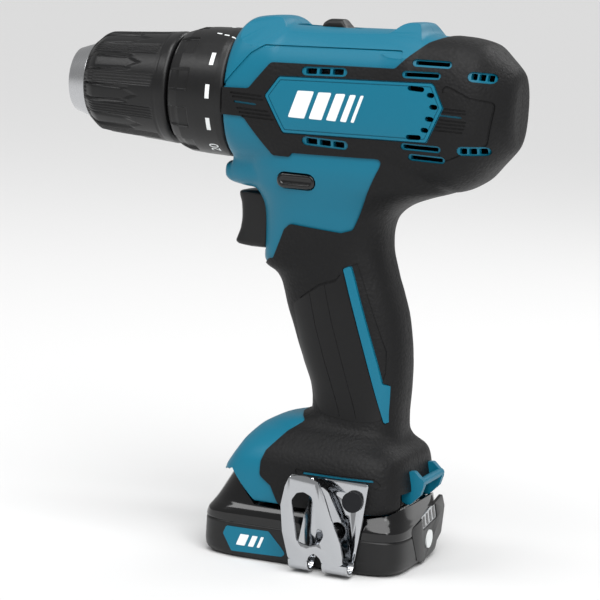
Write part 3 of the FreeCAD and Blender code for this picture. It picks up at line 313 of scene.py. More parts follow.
def studio_white(name):
    # Paper sweep: flat white with a faint tooth
    made, shader = new_material(name, "E0E0E0", 0.85)
    return grain(made, shader, 4.0, 0.01, roughness=(0.8, 0.9))


FINISHES = {
    "Silver paint": silver_paint,
    "Paper sweep": studio_white,
    "Nylon shell, spark-eroded": shell_nylon,
    "Rubber overmould, pebbled": overmould_rubber,
    "Rubber overmould, smooth": smooth_rubber,
    "ABS, etched black": satin_abs,
    "ABS, polished black": glossy_abs,
    "Nylon, black moulded": chuck_nylon,
    "Ink, pad-printed white": printed_white,
    "Steel, turned": turned_steel,
    "Chrome on spring steel": bright_chrome,
    "Steel, sintered": sintered_steel,
    "Steel, dark oiled": oiled_steel,
    "Alloy, die-cast": die_cast,
    "Copper, enamelled wire": copper_wire,
    "Ferrite and carbon": ferrite,
    "Circuit board": circuit_board,
    "Cell sleeve, PVC": cell_sleeve,
    "Polycarbonate, clear": clear_lens,
}


# ---------------------------------------------------------------------------------------------
# Meshes from arrays
# ---------------------------------------------------------------------------------------------
def mesh_object(name, points_mm, faces):
    """An object at the origin from millimetre points and faces."""
    mesh = bpy.data.meshes.new(name)
    mesh.from_pydata(np.asarray(points_mm, float) * MM, [], faces)
    mesh.update()
    made = bpy.data.objects.new(name, mesh)
    bpy.context.scene.collection.objects.link(made)
    return made


def grid_faces(rows, columns, closed=True):
    """Quads between rows of points; closed joins the last column to the first."""
    row, column = np.meshgrid(np.arange(rows - 1), np.arange(columns if closed else columns - 1),
                              indexing="ij")
    after = (column + 1) % columns
    quads = np.stack([row * columns + column, row * columns + after,
                      (row + 1) * columns + after, (row + 1) * columns + column], axis=-1)
    return quads.reshape(-1, 4).tolist()


def skin(name, sections):
    """A closed solid over closed sections, shape (rows, columns, 3), with a fan at each end."""
    sections = np.asarray(sections, float)
    rows, columns = sections.shape[:2]
    points = np.concatenate([sections.reshape(-1, 3), sections[0].mean(0)[None], sections[-1].mean(0)[None]])
    faces = grid_faces(rows, columns)
    first, last = rows * columns, rows * columns + 1
    base = (rows - 1) * columns
    for column in range(columns):
        after = (column + 1) % columns
        faces.append([first, after, column])
        faces.append([last, base + column, base + after])
    made = mesh_object(name, points, faces)
    outwards(made)
    return made


def outwards(made):
    """Turns every face of a closed mesh outwards."""
    work = bmesh.new()
    work.from_mesh(made.data)
    bmesh.ops.recalc_face_normals(work, faces=work.faces)
    work.to_mesh(made.data)
    work.free()


def through(rows, stations):
    """Rows of values carried smoothly from knot to knot: cubic steps whose slopes are the harmonic mean
    of the slopes on either side, so the curve never overshoots its knots."""
    rows = np.asarray(rows, float)
    knots = rows[:, 0]
    steps = np.diff(knots)
    index = np.clip(np.searchsorted(knots, stations, side="right") - 1, 0, len(steps) - 1)
    t = (stations - knots[index]) / steps[index]
    columns = [stations]
    for values in rows[:, 1:].T:
        slopes = np.diff(values) / steps
        product = slopes[:-1] * slopes[1:]
        total = np.where(product > 0, slopes[:-1] + slopes[1:], 1.0)
        inner = np.where(product > 0, 2 * product / total, 0.0)
        tangent = np.concatenate([slopes[:1], inner, slopes[-1:]])
        a, b = values[index], values[index + 1]
        ta, tb = tangent[index] * steps[index], tangent[index + 1] * steps[index]
        columns.append(a + t * ta + t * t * (3 * (b - a) - 2 * ta - tb) + t ** 3 * (2 * (a - b) + ta + tb))
    return np.column_stack(columns)


def superellipse(half_u, low_v, high_v, power, count=96):
    """Closed section: |u/a|^n + |v/b|^n = 1, with its own reach up and down."""
    angle = np.linspace(0, 2 * math.pi, count, endpoint=False)
    c, s = np.cos(angle), np.sin(angle)
    e = (2.0 / power)[:, None]
    u = half_u[:, None] * np.sign(c) * np.abs(c) ** e
    middle = ((low_v + high_v) / 2)[:, None]
    reach = ((high_v - low_v) / 2)[:, None]
    return u, middle + reach * np.sign(s) * np.abs(s) ** e


# ---------------------------------------------------------------------------------------------
# Outside form of the housing
# ---------------------------------------------------------------------------------------------
def barrel_sections(inset):
    """Along X: half width, reach above and below the spindle axis, squareness of the section."""
    rows = [
        (FACE_X, 26.2, 26.4, 26.4, 2.1),
        (FACE_X + 1.6, 26.8, 28.6, 26.9, 2.3),
        (FACE_X + 6, 27.2, 31.0, 27.4, 2.7),
        (FACE_X + 16, 27.5, 32.0, 28.0, 3.0),
        (FACE_X + 18.5, 27.5, 31.2, 28.0, 3.0),
        (FACE_X + 22, 27.5, 28.8, 28.0, 3.0),
        (TAIL_X - 50, 27.5, 29.6, 28.0, 3.0),
        (TAIL_X - 45, 27.5, 32.6, 28.2, 3.0),
        (TAIL_X - 39.5, 27.5, 33.0, 29.0, 3.0),
        (TAIL_X - 35, 27.5, 28.4, 30.0, 3.0),
        (TAIL_X - 22, 27.0, 27.9, 30.4, 3.0),
        (TAIL_X - 13, 24.9, 26.3, 26.4, 2.8),
        (TAIL_X - 7, 20.6, 21.8, 20.0, 2.6),
        (TAIL_X - 3.5, 16.4, 18.9, 16.2, 2.5),
        (TAIL_X - 1.0, 12.6, 16.4, 13.2, 2.4),
        (TAIL_X - 0.1 - inset, 9.4, 14.0, 11.4, 2.3),
    ]
    straight = np.linspace(FACE_X, TAIL_X - 8, 90)
    cap = np.linspace(TAIL_X - 7.5, rows[-1][0], 22)
    stations = np.concatenate([straight, cap])
    x, half, up, down, power = through(rows, stations).T
    y, z = superellipse(half - inset, AXIS_Z - down + inset, AXIS_Z + up - inset, power, 128)
    return np.stack([np.broadcast_to(x[:, None], y.shape), y, z], axis=-1)


def facet_cutters(inset):
    """What the flat faces of the moulding take off the rounded form: a wedge along each upper side, and the
    slanted front of the foot where the battery's nose fits."""
    slope = np.array([-9.7, 12.3]) / math.hypot(9.7, 12.3)
    cutters = []
    for side in (-1, 1):
        low = np.array([26.4, AXIS_Z + 19.0]) - np.array([-slope[0], slope[1]]) * inset
        high = low + np.array([-12.3, 9.7]) * 2.0
        corners = [low + np.array([12.3, -9.7]), high, high + [0, 40], low + [30, 40]]
        outline = [(side * y, z) for y, z in corners]
        cutters.append(facing_rear("side_wedge", outline, FACE_X - 4, TAIL_X - 27))
    cutters.append(prism("nose_way", [
        (-60, DECK_Z - 9), (-18.8 + inset, DECK_Z - 9), (-18.8 + inset, DECK_Z - 0.2),
        (-30.6 + inset, DECK_Z + 11.5 + inset),
        (-37.6, DECK_Z + 9.4 + inset), (-60, DECK_Z + 9.4 + inset)], -60, 60))
    return cutters


def upright_sections(rows, inset, steps, ends=(0.0, 0.0)):
    """Along Z: front, rear, half width, squareness of each level slice."""
    rows = np.asarray(rows, float)
    stations = np.linspace(rows[0, 0] + ends[0] * inset, rows[-1, 0] - ends[1] * inset, steps)
    z, front, rear, half, power = through(rows, stations).T
    y, x = superellipse(half - inset, front + inset, rear - inset, power, 96)
    return np.stack([x, y, np.broadcast_to(z[:, None], y.shape)], axis=-1)


def handle_rows():
    """The handle from the foot to the barrel, leaning back and flaring into both."""
    top = AXIS_Z - 64.8
    low = DECK_Z + 27.6
    share = (top - low) / 62.7
    lower = [
        (0.0, -8.5, 30.4, 19.0, 2.8), (4.5, -7.2, 30.1, 17.4, 2.7), (9.0, -6.6, 30.1, 16.7, 2.6),
        (13.5, -6.9, 30.3, 16.4, 2.6), (19.0, -8.2, 30.5, 16.3, 2.6), (25.0, -10.8, 30.5, 16.3, 2.6),
        (33.0, -14.2, 30.0, 16.4, 2.6), (40.0, -16.8, 29.0, 16.6, 2.6), (47.0, -19.6, 27.6, 16.8, 2.6),
        (53.0, -21.4, 25.6, 17.0, 2.6), (57.0, -22.8, 24.2, 17.0, 2.6), (60.5, -25.6, 22.8, 17.0, 2.6),
        (62.7, -29.8, 22.1, 17.1, 2.7),
    ]
    upper = [
        (2.6, -31.0, 21.1, 17.2, 2.8), (9.7, -31.0, 19.2, 17.4, 2.8), (15.2, -31.0, 18.8, 18.2, 2.8),
        (20.6, -31.2, 19.6, 19.6, 2.8), (24.0, -32.0, 21.8, 20.6, 2.8), (27.4, -34.0, 26.3, 21.8, 2.8),
        (30.8, -37.0, 34.5, 23.0, 2.8), (34.4, -39.0, 44.5, 24.2, 2.8), (40.0, -40.0, 48.0, 25.4, 2.8),
        (48.0, -40.0, 44.0, 25.8, 2.8),
    ]
    rows = [(low + up * share, *rest) for up, *rest in lower]
    return rows + [(top + up, *rest) for up, *rest in upper]


def foot_rows():
    """The foot that holds the battery: upper part with its nose, and lower part with a slanted front."""
    upper = [
        (11.2, -37.4, 38.0, 30.2, 4.4), (12.4, -36.9, 37.6, 30.2, 4.4), (16.2, -34.7, 36.8, 29.9, 4.4),
        (20.0, -32.5, 36.2, 28.6, 4.2), (22.2, -31.3, 35.2, 27.2, 4.0), (24.0, -30.0, 33.0, 25.6, 3.7),
        (26.0, -28.3, 31.1, 23.6, 3.4), (28.0, -26.2, 30.4, 21.4, 3.2), (29.6, -23.6, 30.2, 19.2, 3.0),
        (31.6, -19.6, 30.1, 17.6, 2.9), (33.6, -12.0, 30.1, 16.9, 2.7), (34.4, -8.0, 30.1, 16.6, 2.7),
    ]
    lower = [
        (0.1, -37.9, 35.0, 29.6, 4.6), (2.0, -37.9, 36.8, 30.1, 4.6), (5.0, -37.9, 38.4, 30.3, 4.6),
        (12.0, -37.2, 37.8, 30.2, 4.5),
    ]
    return ([(DECK_Z + up, *rest) for up, *rest in upper], [(DECK_Z + up, *rest) for up, *rest in lower])


def chin_sections(inset):
    """Along X: the chin that holds the lamp, as half width, low z and high z."""
    low = AXIS_Z - 36.2
    high = RING_LOW[2] - 0.6
    rows = [
        (FACE_X - 4.6 + inset, 6.5, low + 4.6, high - 0.8, 2.6),
        (FACE_X - 3.9 + inset, 9.5, low + 2.6, high - 0.1, 3.0),
        (FACE_X - 2.0, 11.6, low + 1.6, high, 3.2), (FACE_X - 0.2, 12.6, low + 0.9, high, 3.2),
        (FACE_X + 0.2, 13.0, low + 0.8, high + 4, 3.2), (FACE_X + 6, 16.0, low, high + 7, 3.2),
        (FACE_X + 16, 19.5, low - 0.4, high + 9, 3.2),
    ]
    x, half, bottom, top, power = through(rows, np.linspace(rows[0][0], rows[-1][0], 44)).T
    y, z = superellipse(half - inset, bottom + inset, top - inset, power, 72)
    return np.stack([np.broadcast_to(x[:, None], y.shape), y, z], axis=-1)


def body_form(name, inset):
    """The whole outside, moved in by inset, as one smooth closed surface."""
    upper, lower = foot_rows()
    parts = [
        skin("barrel", barrel_sections(inset)),
        skin("handle", upright_sections(handle_rows(), inset, 110)),
        skin("foot_upper", upright_sections(upper, inset, 40, (1.0, 0.0))),
        skin("foot_lower", upright_sections(lower, inset, 24, (1.0, 0.0))),
        skin("chin", chin_sections(inset)),
    ]
    joined = join(name, parts)
    remesh = joined.modifiers.new("One surface", "REMESH")
    remesh.mode = "VOXEL"
    remesh.voxel_size = sizes().voxel
    smooth = joined.modifiers.new("Even out", "SMOOTH")
    smooth.iterations = 7
    smooth.factor = 0.5
    applied(joined)
    for cutter in facet_cutters(inset):
        combine(joined, cutter, "DIFFERENCE")
    return joined


def join(name, parts):
    """One mesh out of several, without welding them."""
    work = bmesh.new()
    for part in parts:
        work.from_mesh(part.data)
    mesh = bpy.data.meshes.new(name)
    work.to_mesh(mesh)
    work.free()
    for part in parts:
        discard(part)
    made = bpy.data.objects.new(name, mesh)
    bpy.context.scene.collection.objects.link(made)
    return made


def discard(made):
    """Removes a piece that was only needed on the way."""
    mesh = made.data
    bpy.data.objects.remove(made)
    bpy.data.meshes.remove(mesh)


def applied(made):
    """The object with its modifiers made real."""
    made.data.update()
    depsgraph = bpy.context.evaluated_depsgraph_get()
    mesh = bpy.data.meshes.new_from_object(made.evaluated_get(depsgraph), depsgraph=depsgraph)
    old = made.data
    made.modifiers.clear()
    made.data = mesh
    bpy.data.meshes.remove(old)
    return made


def combine(base, tool, operation, drop=True):
    """Boolean of two closed meshes; the tool goes away unless drop is false."""
    step = base.modifiers.new("Combine", "BOOLEAN")
    step.operation = operation
    step.solver = "MANIFOLD"
    step.object = tool
    applied(base)
    if not base.data.polygons:
        raise RuntimeError("%s came out empty from %s" % (base.name, operation))
    if drop:
        discard(tool)
    return base


def copy_of(made, name):
    """A separate piece with its own copy of the mesh."""
    twin = bpy.data.objects.new(name, made.data.copy())
    bpy.context.scene.collection.objects.link(twin)
    return twin


def rounded(outline, radius, steps=5):
    """An outline whose corners are arcs of one radius, or as much of it as their sides allow."""
    corners = np.asarray(outline, float)
    points = []
    for index, corner in enumerate(corners):
        back = corners[index - 1] - corner
        ahead = corners[(index + 1) % len(corners)] - corner
        back_len, ahead_len = np.linalg.norm(back), np.linalg.norm(ahead)
        back, ahead = back / back_len, ahead / ahead_len
        half = math.acos(float(np.clip(back @ ahead, -1, 1))) / 2
        reach = min(radius / math.tan(half), 0.45 * back_len, 0.45 * ahead_len)
        start, end = corner + back * reach, corner + ahead * reach
        t = np.linspace(0, 1, steps)[:, None]
        points.append((1 - t) ** 2 * start + 2 * t * (1 - t) * corner + t ** 2 * end)
    return np.concatenate(points)


def prism(name, outline, low_y, high_y):
    """A side-view outline, as (x, z), carried across from low_y to high_y."""
    outline = np.asarray(outline, float)
    count = len(outline)
    points = [np.column_stack([outline[:, 0], np.full(count, y), outline[:, 1]]) for y in (low_y, high_y)]
    faces = grid_faces(2, count)
    faces.append(list(range(count)))
    faces.append(list(range(count, 2 * count))[::-1])
    made = mesh_object(name, np.concatenate(points), faces)
    outwards(made)
    return made


def pill(start, end, width, steps=8):
    """Outline of a slot with round ends between two points."""
    start, end = np.array(start, float), np.array(end, float)
    along = (end - start) / np.linalg.norm(end - start)
    turn = math.atan2(along[1], along[0])
    angles = np.linspace(-math.pi / 2, math.pi / 2, steps) + turn
    cap = np.column_stack([np.cos(angles), np.sin(angles)]) * width / 2
    return np.concatenate([end - along * width / 2 + cap, start + along * width / 2 - cap])


def cylinder(name, centre, radius, length, along="y", count=48):
    """A closed cylinder from a start point along one axis."""
    angle = np.linspace(0, 2 * math.pi, count, endpoint=False)
    u, v = radius * np.cos(angle), radius * np.sin(angle)
    rings = []
    for far in (0.0, length):
        if along == "x":
            ring = np.column_stack([np.full(count, far), u, v])
        elif along == "y":
            ring = np.column_stack([u, np.full(count, far), v])
        else:
            ring = np.column_stack([u, v, np.full(count, far)])
        rings.append(ring + np.asarray(centre, float))
    return skin(name, rings)


def box(name, low, high):
    """A closed box between two corners."""
    outline = [(low[0], low[2]), (high[0], low[2]), (high[0], high[2]), (low[0], high[2])]
    return prism(name, outline, low[1], high[1])


def both_sides(name, outlines, inner_y=12.0, outer_y=45.0):
    """The same openings on the left and on the right."""
    parts = []
    for outline in outlines:
        parts.append(prism("opening", outline, -outer_y, -inner_y))
        parts.append(prism("opening", outline, inner_y, outer_y))
    return join(name, parts)


def finish(made, finish_name, body, nodes=(), sharp=32.0):
    """Shades a piece, gives it its finish and ties it to its body."""
    made.data.materials.clear()
    made.data.materials.append(material(finish_name))
    made.data.shade_smooth()
    made.data.set_sharp_from_angle(angle=math.radians(sharp))
    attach(made, body)
    if nodes:
        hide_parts(*nodes)
    return made


# ---------------------------------------------------------------------------------------------
# Housing: hard shells, overmould and inlays
# ---------------------------------------------------------------------------------------------
NAMEPLATE = [(-25.3, 178.9), (-20.1, 186.4), (40.0, 188.3), (41.0, 187.5), (44.9, 179.8), (39.5, 166.6),
             (-17.5, 165.6)]
OVERMOULD = [
    (-46.0, 180.6), (-32.6, 181.1), (-24.2, 191.6), (25.3, 192.8), (35.1, 203.1), (41.7, 206.6),
    (44.0, 222.0),
    (82.0, 222.0), (82.0, 118.0), (60.0, 60.0), (48.0, 25.6), (30.0, 23.6), (-9.0, 23.0), (-12.6, 30.2),
    (-17.4, 33.6), (-17.5, 39.1), (-16.2, 43.3), (-10.3, 50.6), (-4.7, 54.8), (-8.0, 56.5), (-45.0, 60.0),
    (-45.0, 111.5), (-29.5, 111.5), (-25.7, 115.4), (-23.4, 115.7), (-18.5, 127.7), (-15.8, 130.1),
    (4.9, 128.5), (9.4, 130.0), (22.6, 158.6), (-14.5, 157.9), (-15.2, 156.3), (-22.7, 156.2),
    (-33.7, 169.6), (-35.4, 170.3), (-46.0, 170.4),
]
HANDLE_STRIP = [(6.5, 114.8), (9.3, 116.2), (22.1, 79.1), (24.3, 71.8), (28.9, 70.7), (31.6, 64.5),
                (28.1, 57.5),
                (26.0, 56.5)]
STRIP_SHADOW = [(9.2, 116.2), (11.6, 117.5), (24.9, 84.3), (25.2, 76.0), (24.2, 71.6), (22.2, 78.0)]
PALM_PANEL = [(-14.1, 99.0), (-2.2, 107.4), (4.0, 109.6), (6.2, 113.6), (25.4, 57.6), (16.9, 56.5),
              (1.2, 57.9),
              (-3.0, 62.0), (-10.0, 76.0)]
SCREW_SPOTS = [(-33.5, 204.5), (25.0, 205.3), (-33.1, 149.2), (43.5, 151.4), (10.0, 95.5), (2.0, 64.0),
               (-24.0, 41.4), (27.0, 41.4)]


def moved_out(made, name, distance):
    """A copy whose surface is carried along its own normals by a distance in millimetres."""
    twin = copy_of(made, name)
    mesh = twin.data
    count = len(mesh.vertices)
    points = np.empty(count * 3)
    normals = np.empty(count * 3)
    mesh.vertices.foreach_get("co", points)
    mesh.vertex_normals.foreach_get("vector", normals)
    mesh.vertices.foreach_set("co", points + normals * distance * MM)
    mesh.update()
    return twin


def grown(outline, reach):
    """An outline carried outwards square to its sides; corners meet on the mitre."""
    corners = np.asarray(outline, float)
    ahead = np.roll(corners, -1, axis=0) - corners
    area = np.sum(corners[:, 0] * np.roll(corners[:, 1], -1) - corners[:, 1] * np.roll(corners[:, 0], -1))
    turn = 1.0 if area > 0 else -1.0
    normal = turn * np.column_stack([ahead[:, 1], -ahead[:, 0]]) / np.linalg.norm(ahead, axis=1)[:, None]
    before = np.roll(normal, 1, axis=0)
    mitre = normal + before
    mitre /= np.maximum(np.sum(mitre * normal, axis=1), 0.35)[:, None]
    return corners + mitre * reach


def band(points, width):
    """The outline of a strip of one width along a run of points."""
    points = np.asarray(points, float)
    ahead = np.gradient(points, axis=0)
    normal = np.column_stack([-ahead[:, 1], ahead[:, 0]]) / np.linalg.norm(ahead, axis=1)[:, None]
    return np.concatenate([points + normal * width / 2, (points - normal * width / 2)[::-1]])


def engrave(target, outlines, floor, inner_y=10.0):
    """Sinks outlines into both sides of a piece, down to a floor surface."""
    cutter = both_sides("cutter", outlines, inner_y)
    combine(cutter, floor, "DIFFERENCE", drop=False)
    combine(target, cutter, "DIFFERENCE")


def vent_outlines():
    """Windows through the wall: three short ones in each front slot, long ones behind, and small rear ones."""
    outlines = []
    for start, end, count, width in (
            ((-10.4, 189.3), (5.6, 190.0), 3, 2.2), ((-8.9, 163.2), (7.4, 162.6), 3, 2.2),
            ((32.6, 195.5), (45.6, 195.6), 1, 1.5), ((29.2, 191.0), (42.2, 191.3), 1, 1.5),
            ((30.4, 164.4), (44.2, 164.2), 1, 1.5), ((33.4, 160.6), (45.8, 160.3), 1, 1.5),
            ((53.6, 192.0), (61.3, 191.4), 3, 2.4), ((51.6, 164.3), (60.8, 164.6), 3, 2.2)):
        start, end = np.array(start), np.array(end)
        share = np.linspace(0, 1, count + 1)
        for low, high in zip(share[:-1], share[1:]):
            rib = 0.03 if count > 1 else 0.0
            left = start + (end - start) * (low + rib)
            right = start + (end - start) * (high - rib)
            up = np.array([0.0, width / 2])
            outlines.append(rounded([left - up, right - up, right + up, left + up], 0.5, 4))
    return outlines


def vent_frames():
    """The wider pockets in the overmould around the windows."""
    return [pill(start, end, width, 6) for start, end, width in (
        ((-11.6, 189.3), (6.8, 190.0), 3.4), ((-10.1, 163.2), (8.6, 162.6), 3.4),
        ((31.4, 195.5), (46.6, 195.6), 2.8), ((28.2, 191.0), (43.2, 191.3), 2.8),
        ((29.4, 164.4), (45.2, 164.2), 2.6), ((32.4, 160.6), (46.8, 160.3), 2.6),
        ((52.6, 192.0), (62.3, 191.4), 3.8), ((50.8, 164.3), (61.8, 164.6), 3.4))]


def plate_windows():
    """Six slanted windows round the rear end of the name plate."""
    spots = [((31.0, 186.2), (37.6, 185.9)), ((38.6, 184.2), (41.6, 184.0)), ((39.9, 179.9), (43.2, 179.8)),
             ((38.6, 175.4), (42.0, 175.2)), ((37.2, 171.2), (40.2, 171.0)), ((31.6, 168.0), (37.6, 168.2))]
    return [pill(start, end, 1.9, 5) for start, end in spots]


def front_ribs():
    """Grip grooves beside the torque ring; the middle one shows the hard shell."""
    rows = [((-39.9, -26.8), 179.0), ((-39.0, -25.9), 177.6), ((-38.3, -28.9), 175.7),
            ((-37.0, -23.8), 173.4), ((-35.9, -22.6), 171.9), ((-34.7, -21.4), 170.5)]
    return [pill((low, z), (high, z - 0.5), 0.75, 4) for (low, high), z in rows]


def rear_ribs():
    """Grip grooves behind the name plate; the third one shows the hard shell."""
    rows = [(179.6, 42.8, 53.4), (178.4, 42.4, 53.6), (177.1, 42.0, 52.2), (175.4, 42.2, 53.8),
            (174.1, 41.8, 53.6), (172.8, 41.4, 53.2), (171.5, 41.0, 52.8)]
    return [pill((low, z), (high, z - 0.4), 0.7, 4) for z, low, high in rows]


class DRILL_OT_housing(bpy.types.Operator):
    """Hard shells, rubber overmould, name plate, handle strip and palm panel, left and right"""
    bl_idname = "drill.housing"
    bl_label = "Housing"

    def execute(self, context):
        size = sizes()
        nominal = body_form("nominal", 0.0)
        hard = moved_out(nominal, "hard", -size.shell_back / MM)
        proud = moved_out(nominal, "proud", size.skin_proud / MM)
        plate_face = moved_out(nominal, "plate_face", size.skin_proud / MM + 0.3)
        under = moved_out(nominal, "under", -1.5)
        step_floor = moved_out(nominal, "step_floor", -1.0)
        fine_floor = moved_out(nominal, "fine_floor", -0.15)
        hollow = body_form("hollow", (size.shell_back + size.wall) / MM)

        openings = join("openings", [
            cylinder("mouth", (FACE_X - 10, 0, AXIS_Z), 24.5, 24, "x"),
            prism("trigger_way", rounded([(-46, 117.9), (-24, 117.9), (-24, 140.9), (-46, 140.9)], 1.0), -9.5,
                  9.5),
            prism("selector_way", rounded([(-22.5, 203.4), (3.5, 203.4), (3.5, 216), (-22.5, 216)], 0.6),
                  -6.4, 6.4),
            prism("lever_way", pill((-20.8, AXIS_Z - 30.3), (-4.4, AXIS_Z - 30.3), 6.6), -60, 60),
            cylinder("lamp_way", (FACE_X - 6, 0, AXIS_Z - 30.2), 3.3, 12, "x"),
            prism("rail_way", [(-46, DECK_Z - 4), (40, DECK_Z - 4), (40, DECK_Z + 9), (-46, DECK_Z + 9)],
                  -20.4, 20.4),
        ])
        windows = both_sides("windows", vent_outlines() + plate_windows())
        frames = vent_frames()
        clip_slot = rounded([(-3.2, 38.4), (1.1, 37.8), (28.4, 37.8), (31.2, 35.4), (29.6, 33.9),
                             (-1.8, 34.4)], 0.8)
        slot_line = rounded([(0.6, 37.3), (27.8, 37.2), (28.6, 36.3), (0.2, 36.4)], 0.2)

        shell = copy_of(hard, "shell")
        combine(shell, hollow, "DIFFERENCE", drop=False)
        shoulder = rounded([(-42.8, 183.0), (-33.2, 194.6), (-28.0, 198.0), (26.5, 199.6), (27.8, 193.4),
                            (-24.0, 192.0), (-33.0, 181.3), (-44.0, 181.0)], 1.5)
        engrave(shell, [shoulder], step_floor)
        self.add_bosses(shell, under)
        combine(shell, openings, "DIFFERENCE", drop=False)
        combine(shell, windows, "DIFFERENCE", drop=False)

        rubber = copy_of(proud, "rubber")
        combine(rubber, under, "DIFFERENCE", drop=False)
        combine(rubber, prism("region", rounded(OVERMOULD, 2.2), -70, 70), "INTERSECT")
        inlays = [rounded(grown(NAMEPLATE, 0.45), 1.2), rounded(grown(HANDLE_STRIP, 0.35), 1.0), slot_line]
        combine(rubber, both_sides("inlays", inlays + frames), "DIFFERENCE")
        shown = [front_ribs()[2], rear_ribs()[2]]
        engrave(rubber, shown, step_floor)
        engrave(rubber, [rounded(STRIP_SHADOW, 0.6), clip_slot] + front_ribs() + rear_ribs(), fine_floor)
        cheek = band(rounded([(44.5, 188.6), (54.4, 183.9), (62.5, 182.6), (60.5, 167.0), (44.8, 159.2)],
                             2.0), 0.7)
        palm_edge = band(rounded([(-13.6, 99.4), (-2.4, 107.9), (4.2, 110.4), (6.0, 113.0)], 1.0)[3:-3], 0.8)
        engrave(rubber, [cheek, palm_edge], fine_floor)
        combine(rubber, openings, "DIFFERENCE", drop=False)
        combine(rubber, windows, "DIFFERENCE")

        plate = copy_of(plate_face, "plate")
        combine(plate, under, "DIFFERENCE", drop=False)
        strip = copy_of(plate, "strip")
        combine(plate, both_sides("plate_region", [rounded(NAMEPLATE, 1.4)]), "INTERSECT")
        slots = both_sides("plate_slots", plate_windows())
        combine(plate, slots, "DIFFERENCE")
        rim = rounded(grown(NAMEPLATE, -1.1), 1.0)
        rim_line = prism_ring("rim_line", rim, 0.35)
        combine(rim_line, proud, "DIFFERENCE", drop=False)
        combine(plate, rim_line, "DIFFERENCE")
        combine(strip, both_sides("strip_region", [rounded(HANDLE_STRIP, 1.0)]), "INTERSECT")

        stripes = moved_out(nominal, "stripes", size.skin_proud / MM + 0.38)
        combine(stripes, under, "DIFFERENCE", drop=False)
        slants = [rounded([(low, 171.6), (high, 171.5), (high + 3.4, 182.0), (low + 3.4, 181.8)], 0.5)
                  for low, high in ((-15.6, -9.0), (-7.2, -2.0), (-0.2, 3.6), (5.4, 7.8), (9.6, 10.9))]
        combine(stripes, both_sides("slants", slants), "INTERSECT")

        palm = moved_out(nominal, "palm", size.skin_proud / MM + 0.12)
        combine(palm, under, "DIFFERENCE", drop=False)
        combine(palm, both_sides("palm_region", [rounded(PALM_PANEL, 2.0)], inner_y=6.0), "INTERSECT")
        creases = [band([(-6.5, 104.0), (-3.6, 92.0), (1.2, 78.0), (7.6, 62.0), (9.0, 58.0)], 0.3),
                   band([(-0.5, 108.0), (3.2, 94.0), (8.6, 78.0), (14.4, 62.0), (15.6, 58.0)], 0.3)]
        engrave(palm, creases, proud, inner_y=6.0)

        for side, low_y, high_y in (("left", -70.0, -0.08), ("right", 0.08, 70.0)):
            half_space = box("half_space", (-120, low_y, -20), (120, high_y, 260))
            counterbores = join("counterbores", [
                cylinder("bore", (x, 10, z), 2.95, 50, "y", 28) for x, z in SCREW_SPOTS])
            pieces = {
                "shell": (shell, "Nylon shell, spark-eroded", "teal_shell"),
                "overmould": (rubber, "Rubber overmould, pebbled", "rubber_grip"),
                "name_plate": (plate, "Nylon shell, spark-eroded", "teal_shell"),
                "handle_strip": (strip, "Nylon shell, spark-eroded", "teal_shell"),
                "plate_mark": (stripes, "Ink, pad-printed white", "teal_shell"),
                "palm_panel": (palm, "Rubber overmould, smooth", "rubber_grip"),
            }
            for piece, (whole, finish_name, slot) in pieces.items():
                half = copy_of(whole, "%s_%s" % (piece, side))
                combine(half, half_space, "INTERSECT", drop=False)
                if side == "right":
                    combine(half, counterbores, "DIFFERENCE", drop=False)
                nodes = {"shell": ["housing_" + side], "overmould": ["grip_" + side]}.get(piece, [])
                finish(half, finish_name, "housing", nodes)
            discard(half_space)
            discard(counterbores)
        for spare in (nominal, hard, proud, plate_face, under, step_floor, fine_floor, hollow, openings,
                      shell,
                      rubber, plate, strip, stripes, palm):
            discard(spare)
        return {"FINISHED"}

    def add_bosses(self, shell, outside):
        """Screw bosses reach in from the wall on the right, where the counterbores are."""
        bosses = join("bosses", [cylinder("boss", (x, 6, z), 4.4, 60, "y", 32) for x, z in SCREW_SPOTS])
        combine(bosses, outside, "INTERSECT", drop=False)
        combine(shell, bosses, "UNION")


def prism_ring(name, outline, width):
    """A thin ring along an outline on both sides."""
    ring = both_sides(name, [grown(outline, width / 2)])
    combine(ring, both_sides("inside", [grown(outline, -width / 2)], 8.0, 50.0), "DIFFERENCE")
    return ring


# ---------------------------------------------------------------------------------------------
# Chuck sleeve and torque ring
# ---------------------------------------------------------------------------------------------
def bump(value, low, high, soft):
    """1 between low and high, fading to 0 over a soft edge on both sides."""
    rise = np.clip((value - low) / soft + 0.5, 0, 1)
    fall = np.clip((high - value) / soft + 0.5, 0, 1)
    return (rise * rise * (3 - 2 * rise)) * (fall * fall * (3 - 2 * fall))


def around_axis(name, stations, radii, turns):
    """A closed ring surface: radius as a function of the place along the profile and the angle about the
    spindle, shape (stations, turns)."""
    angle = np.linspace(0, 2 * math.pi, turns, endpoint=False)
    y = -radii * np.cos(angle)
    z = AXIS_Z - radii * np.sin(angle)
    points = np.stack([np.broadcast_to(stations[:, None], y.shape), y, z], axis=-1)
    count = len(stations)
    faces = grid_faces(count, turns)
    last = (count - 1) * turns
    for column in range(turns):
        after = (column + 1) % turns
        faces.append([last + column, last + after, after, column])
    made = mesh_object(name, points.reshape(-1, 3), faces)
    outwards(made)
    return made


def phase_of(angle, repeats, offset):
    """Place within one repeat, from -0.5 to 0.5."""
    return (angle / (2 * math.pi) * repeats - offset + 0.5) % 1.0 - 0.5


